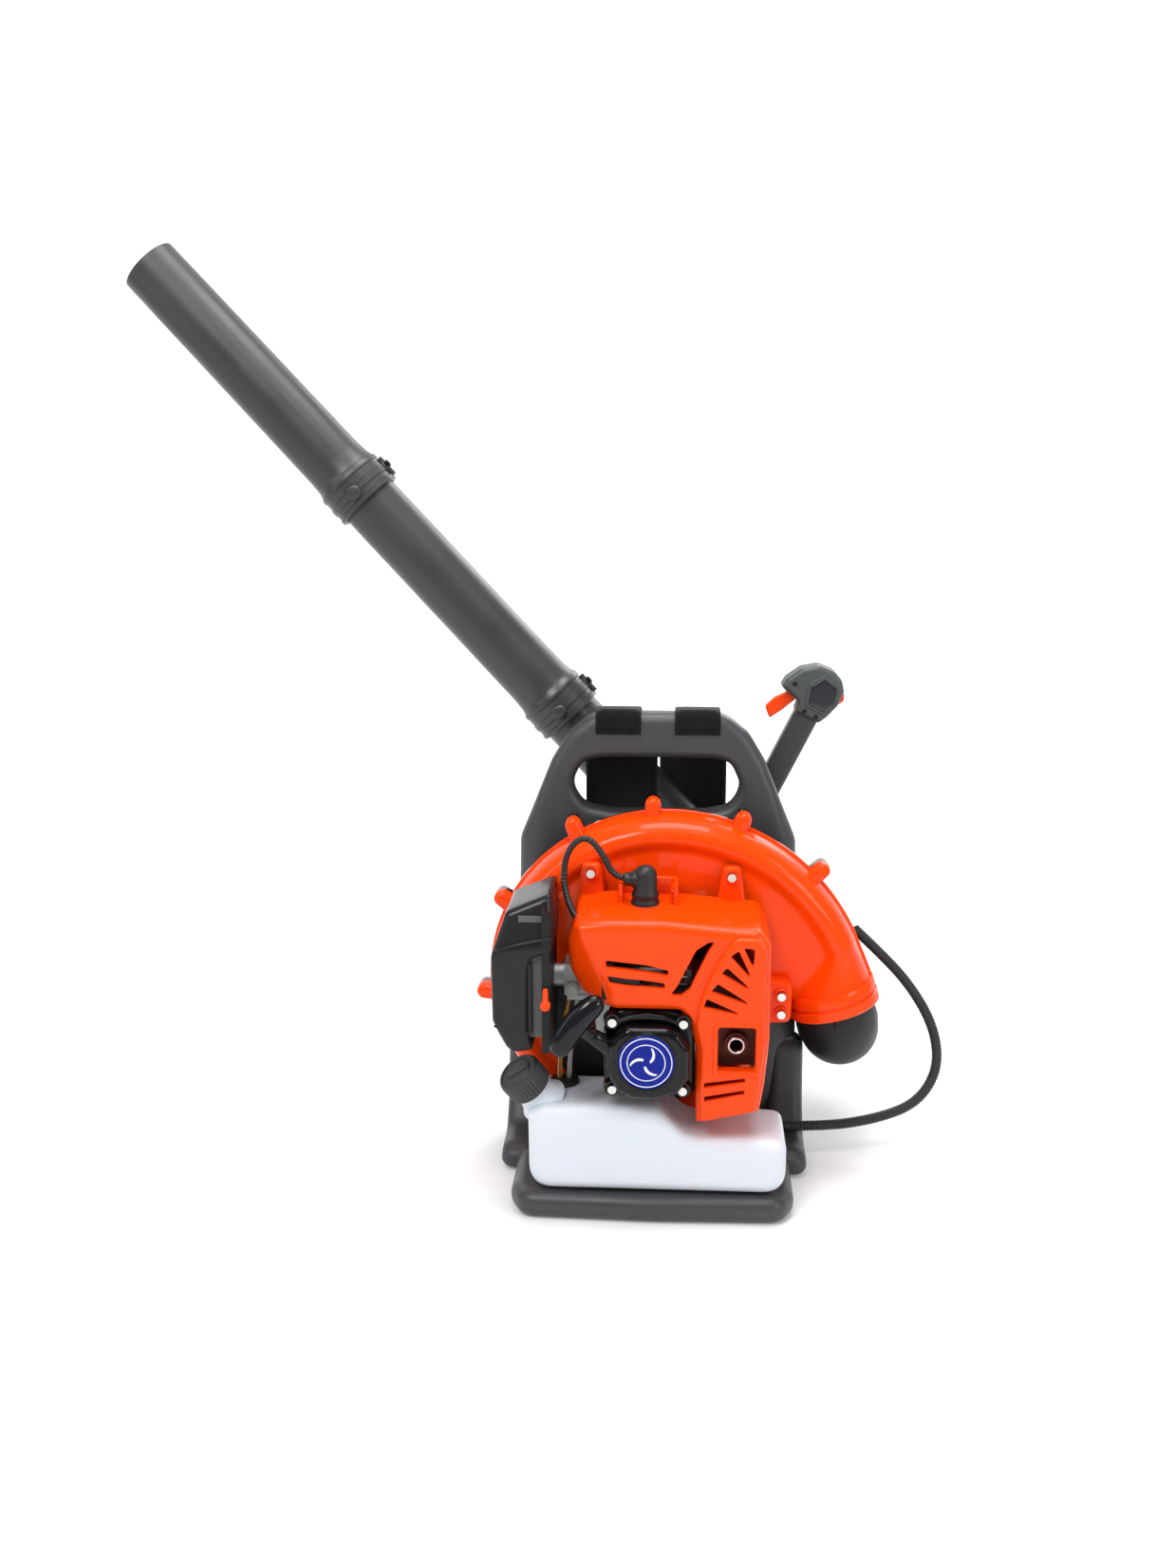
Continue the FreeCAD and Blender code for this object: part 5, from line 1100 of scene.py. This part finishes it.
def make_starter():
    plate = [(-50, 150, 12), (-50, 208, 14), (-44, 226, 8), (-30, 228.6, 12), (20, 228.6, 12),
        (34, 226, 8), (42.5, 208, 14), (42.5, 150, 12), (36, 137, 8), (-44, 137, 8)]
    shroud = moulding("shroud_body", plate, -110, -134, GLOSS, edge=3.5, back="flat", gap=6)
    fins = [moulding("shroud_fin", [(x, 138, 1), (x + 2.2, 138, 1), (x + 2.2, 150, 1), (x, 150, 1)],
        -112, -139, GLOSS, edge=0.8, gap=5, steps=2) for x in range(-30, 30, 8)]
    finish("flywheel_shroud", [shroud] + fins, "blower", "black_gloss")
    dome = [(-45, 166, 12), (-45, 199, 12), (-36, 212, 10), (-26, 218, 12), (15, 218, 12),
        (27, 212, 10), (38, 196, 12), (38, 164, 12), (25, 147, 12), (1, 141, 16), (-21, 142, 14),
        (-36, 150, 10)]
    pieces = [moulding("dome", dome, -133, -160, GLOSS, edge=8, gap=5, back="flat")]
    pieces.append(lathe("disc_rim", [(28.8, -3), (31.6, -3), (31.6, 0.2), (30.6, 1.4), (29.2, 1.2),
        (28.8, 0.4)], (-6, -159.6, 183), (0, -1, 0), GLOSS, 72))
    for sx in (-41, 31):
        for sz in (147, 219):
            pieces.append(lathe("ear", [(0.2, -2), (9.6, -2), (8.6, 7), (7.8, 9), (5.6, 9),
                (5.2, 7.8), (0.2, 7.8)], (sx, -134, sz), (0, -1, 0), GLOSS, 36))
    pieces.append(lathe("rope_guide", [(2.4, -12), (9.5, -12), (8.5, 6), (7.6, 12), (6.4, 14),
        (4, 14), (2.4, 12)], ROOT, PULL, GLOSS, 36))
    arch = [(-36, 214, 3), (-36, 221, 4), (-22, 226, 12), (-5, 228, 20), (12, 226, 12),
        (26, 221, 4), (26, 214, 3), (12, 219, 12), (-5, 221, 20), (-22, 219, 12)]
    pieces.append(moulding("arch", arch, -130, -143, GLOSS, edge=2, gap=5))
    finish("starter_housing", pieces, "blower", "black_gloss")
    disc = lathe("disc_face", [(0.2, 0), (28.4, 0), (28.4, 0.8), (27.6, 1.5), (18, 1.9),
        (0.2, 2.1)], (-6, -159.6, 183), (0, -1, 0), BLUE, 72, closed=False)
    rings = [lathe("disc_ring", [(r, 1.2), (r + 0.9, 1.2), (r + 0.9, 2.05), (r, 2.05)],
        (-6, -159.6, 183), (0, -1, 0), WHITE, 72) for r in (25.4, 18.6)]
    blades = []
    for i in range(3):
        turn = 2 * math.pi * i / 3
        loop = []
        for t in range(13):
            share = t / 12
            a = turn + 1.15 * share
            loop.append((math.cos(a) * (4 + 12.5 * share), math.sin(a) * (4 + 12.5 * share)))
        for t in range(12, -1, -1):
            share = t / 12
            a = turn + 0.55 + 0.75 * share
            loop.append((math.cos(a) * (4 + 12.5 * share), math.sin(a) * (4 + 12.5 * share)))
        loop = [(-6 + x, 183 + z) for x, z in loop]
        blades.append(moulding("blade", loop, -161.0, -162.0, WHITE, edge=0.2, gap=3, arc=2))
    finish("starter_disc", [disc] + rings + blades, "blower", "blue_disc")
    bar_dir = Vector((0.34, 0, 0.94)).normalized()
    bar_dir = (bar_dir - PULL * bar_dir.dot(PULL)).normalized()
    grip = ROOT + PULL * 37
    line = []
    for i in range(29):
        t = -38 + 76 * i / 28
        line.append(grip + bar_dir * t - PULL * (t * t / 38 ** 2 * 7))

    def swell(d):
        share = abs(d / 77 * 2 - 1)
        return 13.2 * math.sqrt(max(0.004, 1 - share ** 6)) * (1 - 0.14 * share)

    bar = pipe("handle_bar", line, 10, NAVY, 28, rib=swell, sharp=50, flat=0.78)
    stem = lathe("handle_stem", [(2.3, 15), (7.4, 15), (7.8, 17), (7.2, 20), (8.2, 28), (9.5, 36),
        (2.3, 36)], ROOT, PULL, NAVY, 36)
    finish("starter_handle", [bar, stem], "pull_handle", "black_gloss")
    line = [ROOT + PULL * s for s in range(-3, 36)]
    rope = pipe("starter_rope_looks", line, 2.2, WEB, 12, rib=lambda d: 2.0
        + 0.2 * math.cos(2 * math.pi * d / 3.1), sharp=80)
    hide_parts("starter_rope")
    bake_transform(rope)


# ------------------------------------------------------------------ tank

CAP_AXIS = Vector((-0.52, -0.36, 0.775)).normalized()
CAP_FOOT = Vector((-134, -120, 146)) - CAP_AXIS * 40


def make_tank():
    outline = [(-128, 30, 26), (-129, 123, 20), (3, 123.5, 26), (36, 90, 26), (112, 90, 20),
        (139, 89, 22), (139, 30, 26)]
    body = moulding("tank_body", outline, -45, -140, TANK, edge=14, back="same", gap=7, arc=8, steps=9)
    neck = lathe("tank_neck", [(0.2, 2), (26, 2), (24, 5), (21.5, 10), (20, 15), (19.6, 26),
        (18.8, 27), (18.8, 37.4), (16, 37.4), (16, 22), (0.2, 20)], CAP_FOOT, CAP_AXIS, TANK, 64)
    finish("fuel_tank", [body, neck], "blower", "tank_plastic")

    def knurl(a, r, h):
        return r - 0.9 * max(0, math.cos(34 * a)) ** 2 if r > 22.9 else r

    profile = [(0.2, 51.2), (14, 51.2), (15, 50.2), (19.4, 50.2), (20.6, 51.6), (22.2, 51.2),
        (23.4, 49.4), (24, 47), (24, 44), (24, 36), (24, 30), (23.6, 28), (22.4, 27.2),
        (19.8, 27.2), (19.8, 40.2), (0.2, 40.2)]
    cap = lathe("cap_shell", profile, CAP_FOOT, CAP_AXIS, CAP, 272, ripple=knurl, sharp=30)
    bar = basis(CAP_AXIS)[1]
    grip = pipe("cap_grip", [CAP_FOOT + CAP_AXIS * 51 + bar * t for t in (-13, -12, -6, 0, 6, 12,
        13)], 2.0, CAP, 12)
    finish("fuel_cap", [cap, grip], "cap", "black_plastic")
    collar = [(5.0, -4), (13, -4), (13, 2.6), (15.4, 2.6), (16.2, 3.6), (15.6, 5.2), (12, 6.4),
        (5.0, 6.8)]
    grommet = lathe("grommet_ring", collar, (-95, -75, 122.6), (0, 0, 1), RUBBER, 48)
    plug = lathe("grommet_plug", [(0.2, -3), (6, -3), (6, 5.8), (0.2, 5.8)], (-95, -75, 122.6),
        (0, 0, 1), RUBBER, 32)
    finish("tank_grommet", [grommet, plug], "blower", "rubber")
    routes = (([(-100, -75, 100), (-100, -75, 150), (-96, -84, 190), (-88, -88, 226)], AMBER, 2.5),
        ([(-90, -75, 110), (-90, -75, 150), (-84, -80, 190), (-80, -86, 226)], CLEAR, 2.5))
    lines = [pipe("line", evenly(smooth_line(points), 2.0), r, mat, 14) for points, mat, r in routes]
    finish("fuel_lines", lines, "blower", "fuel_hose")


# ------------------------------------------------------------------ control handle

LEAN = Vector((0.44, 0, 0.898)).normalized()
ACROSS = Vector((LEAN.z, 0, -LEAN.x))
ARM_TOP = Vector((174.71, 150, 500.19))


def on_handle(p):
    return ARM_TOP + ACROSS * p.x + LEAN * p.z + Vector((0, p.y, 0))


def knob_grooves(angle, radius, height):
    """Nine shallow grooves round the rim of the clamp's knob."""
    return radius - 0.8 * max(0, math.cos(9 * angle)) if radius > 9 else radius


def make_handle():
    _, direction, end = tube_line()
    arm = [(-14.5, -186, 3), (14.5, -186, 3), (14.5, -6, 3), (-14.5, -6, 3)]
    arm = moulding("arm_bar", arm, 13, -13, TUBE, edge=6, back="same", gap=8, bend=on_handle)
    own(arm, "tube", "tube_plastic", "handle_arm")
    ring = [(35.4, -17), (39.3, -17), (40.3, -16), (40.3, -12), (39.4, -11), (39.4, 11), (40.3, 12),
        (40.3, 16), (39.3, 17), (35.4, 17)]
    band = lathe("clamp_ring", ring, end + direction * 120, direction, TUBE, 72)
    block = moulding("clamp_block", [(-17, -199, 4), (17, -199, 4), (16, -160, 6), (-16, -160, 6)],
        15, -15, TUBE, edge=5, back="same", gap=6, bend=on_handle)
    knob = lathe("clamp_knob", [(0.2, 0), (10, 0), (11.5, 1.5), (11.5, 8), (10, 10), (0.2, 10.4)],
        on_handle(Vector((0, -15, -180))), (0, -1, 0), BLACK, 54, ripple=knob_grooves)
    finish("handle_clamp", [band, block, knob], "tube", "tube_plastic")
    head = [(-42, 4, 4), (-41, 15, 6), (-31, 33, 10), (-15, 45, 14), (3, 46, 14), (17, 40, 10),
        (25, 30, 8), (26, 14, 8), (21, -4, 8), (15.5, -15, 4), (-15.5, -15, 4), (-17, -3, 6),
        (-28, 0, 6)]
    shell = moulding("head_shell", head, 19, -19, BEZEL, edge=6, back="same", gap=5, bend=on_handle)
    seam = moulding("head_seam", inset(rounded_loop(head), -0.5), 1.2, -1.2, TUBE, edge=0.6,
        back="same", gap=5, bend=on_handle)
    frame_loop = [(-9, -4, 4), (18, -4, 4), (25, 13, 6), (19, 34, 6), (-6, 38, 6), (-16, 21, 6)]
    bezel = moulding("head_bezel", frame_loop, -17, -20.4, BEZEL, edge=1.6, gap=4, bend=on_handle)
    screws = [lathe("head_screw", [(0.2, 0), (2.6, 0), (2.6, 1.2), (2.0, 1.8), (0.2, 1.8)],
        on_handle(Vector((u, -18.6, v))), (0, -1, 0), BLACK, 20) for u, v in ((-6, -9), (9, -9),
        (-30, 14))]
    finish("control_head", [shell, seam, bezel] + screws, "tube", "tube_plastic")
    panel = [(-6, 0, 3), (15, 0, 3), (21, 13, 4), (16, 30, 4), (-4, 34, 4), (-12, 20, 4)]
    face = moulding("panel_face", panel, -20, -22, PANEL, edge=1, back="same", gap=4, bend=on_handle)
    own(face, "tube", "black_gloss", "control_panel")
    outline = [(-28, 13, 2), (-25, 17, 2), (-19, 17, 2), (-16.5, 8, 2), (-20, -4, 6),
        (-27, -20, 10), (-36, -36, 2), (-47, -26, 5), (-42, -12, 10), (-34, -2, 6), (-30, 8, 2)]
    trigger = moulding("throttle_trigger_looks", outline, 6, -6, ORANGE, edge=2.4, back="same",
        gap=4, bend=on_handle, steps=5)
    own(trigger, "trigger", "orange_plastic", "throttle_trigger")
    outline = [(20.5, 13, 1), (28, 14, 2.5), (30.5, 20, 3), (28, 27, 2.5), (20.5, 28, 1)]
    switch = moulding("stop_switch_looks", outline, 6, -6, ORANGE, edge=1.6, back="same", gap=3,
        bend=on_handle, steps=5)
    own(switch, "switch", "orange_plastic", "stop_switch")


# ------------------------------------------------------------------ cables

LOOP_ROUTE = [(222, 47, 262), (246, 56, 238), (286, 60, 196), (316, 56, 146), (322, 48, 98),
    (298, 38, 60), (250, 28, 44), (190, 20, 37), (126, 18, 37)]
HOSE_ROUTE = [(222, 47, 262), (228, 80, 240), (222, 116, 226), (204, 142, 228), (180, 150, 256)]
ARM_ROUTE = [(180, 150, 256), (166.3, 154.6, 272), (148, 153, 300), (129, 150, 329),
    (112.6, 150, 337.1)]


def corrugated(name, route, radius):
    line = evenly(smooth_line(route, 24), 0.75)
    piece = pipe(name, line, radius, RUBBER, 18, rib=lambda d: radius - 0.45
        + 0.45 * math.cos(2 * math.pi * d / 3.6), sharp=80)
    return piece, line


def make_cables():
    cable, line = corrugated("throttle_cable_loop_looks", LOOP_ROUTE, 6.0)
    own(cable, "blower", "cable_black", "throttle_cable_loop")
    for name, route, a, b in (("throttle_cable_hose", HOSE_ROUTE, "blower", "hose_end"),
            ("throttle_cable_arm", ARM_ROUTE, "hose_end", "tube")):
        cable, line = corrugated(name + "_looks", route, 4.0)
        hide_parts(name)
        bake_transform(cable)


def main():
    studio()
    make_carrier()
    make_carrying()
    make_fan_housing()
    make_air_path()
    make_engine_cover()
    make_plug_and_lead()
    make_air_cleaner()
    make_starter()
    make_tank()
    make_handle()
    make_cables()
    paint(BLACK, "ignition_coil", "air_filter_base", "impeller", "starter_reel")
    paint(RUBBER, "vibration_mounts", "cap_gasket")
    paint(ALLOY, "crankcase_front", "crankcase_rear", "piston", "cylinder", "flywheel", "carburetor")
    paint(STEEL, "shaft_nuts", "machine_screws", "crankshaft", "connecting_rod", "throttle_arm",
        "recoil_spring")
    paint(CERAMIC, "spark_plug")
    paint(HOT, "muffler")
    paint(CLEAR, "primer_bulb")
    paint(SPONGE, "air_filter_element")


main()
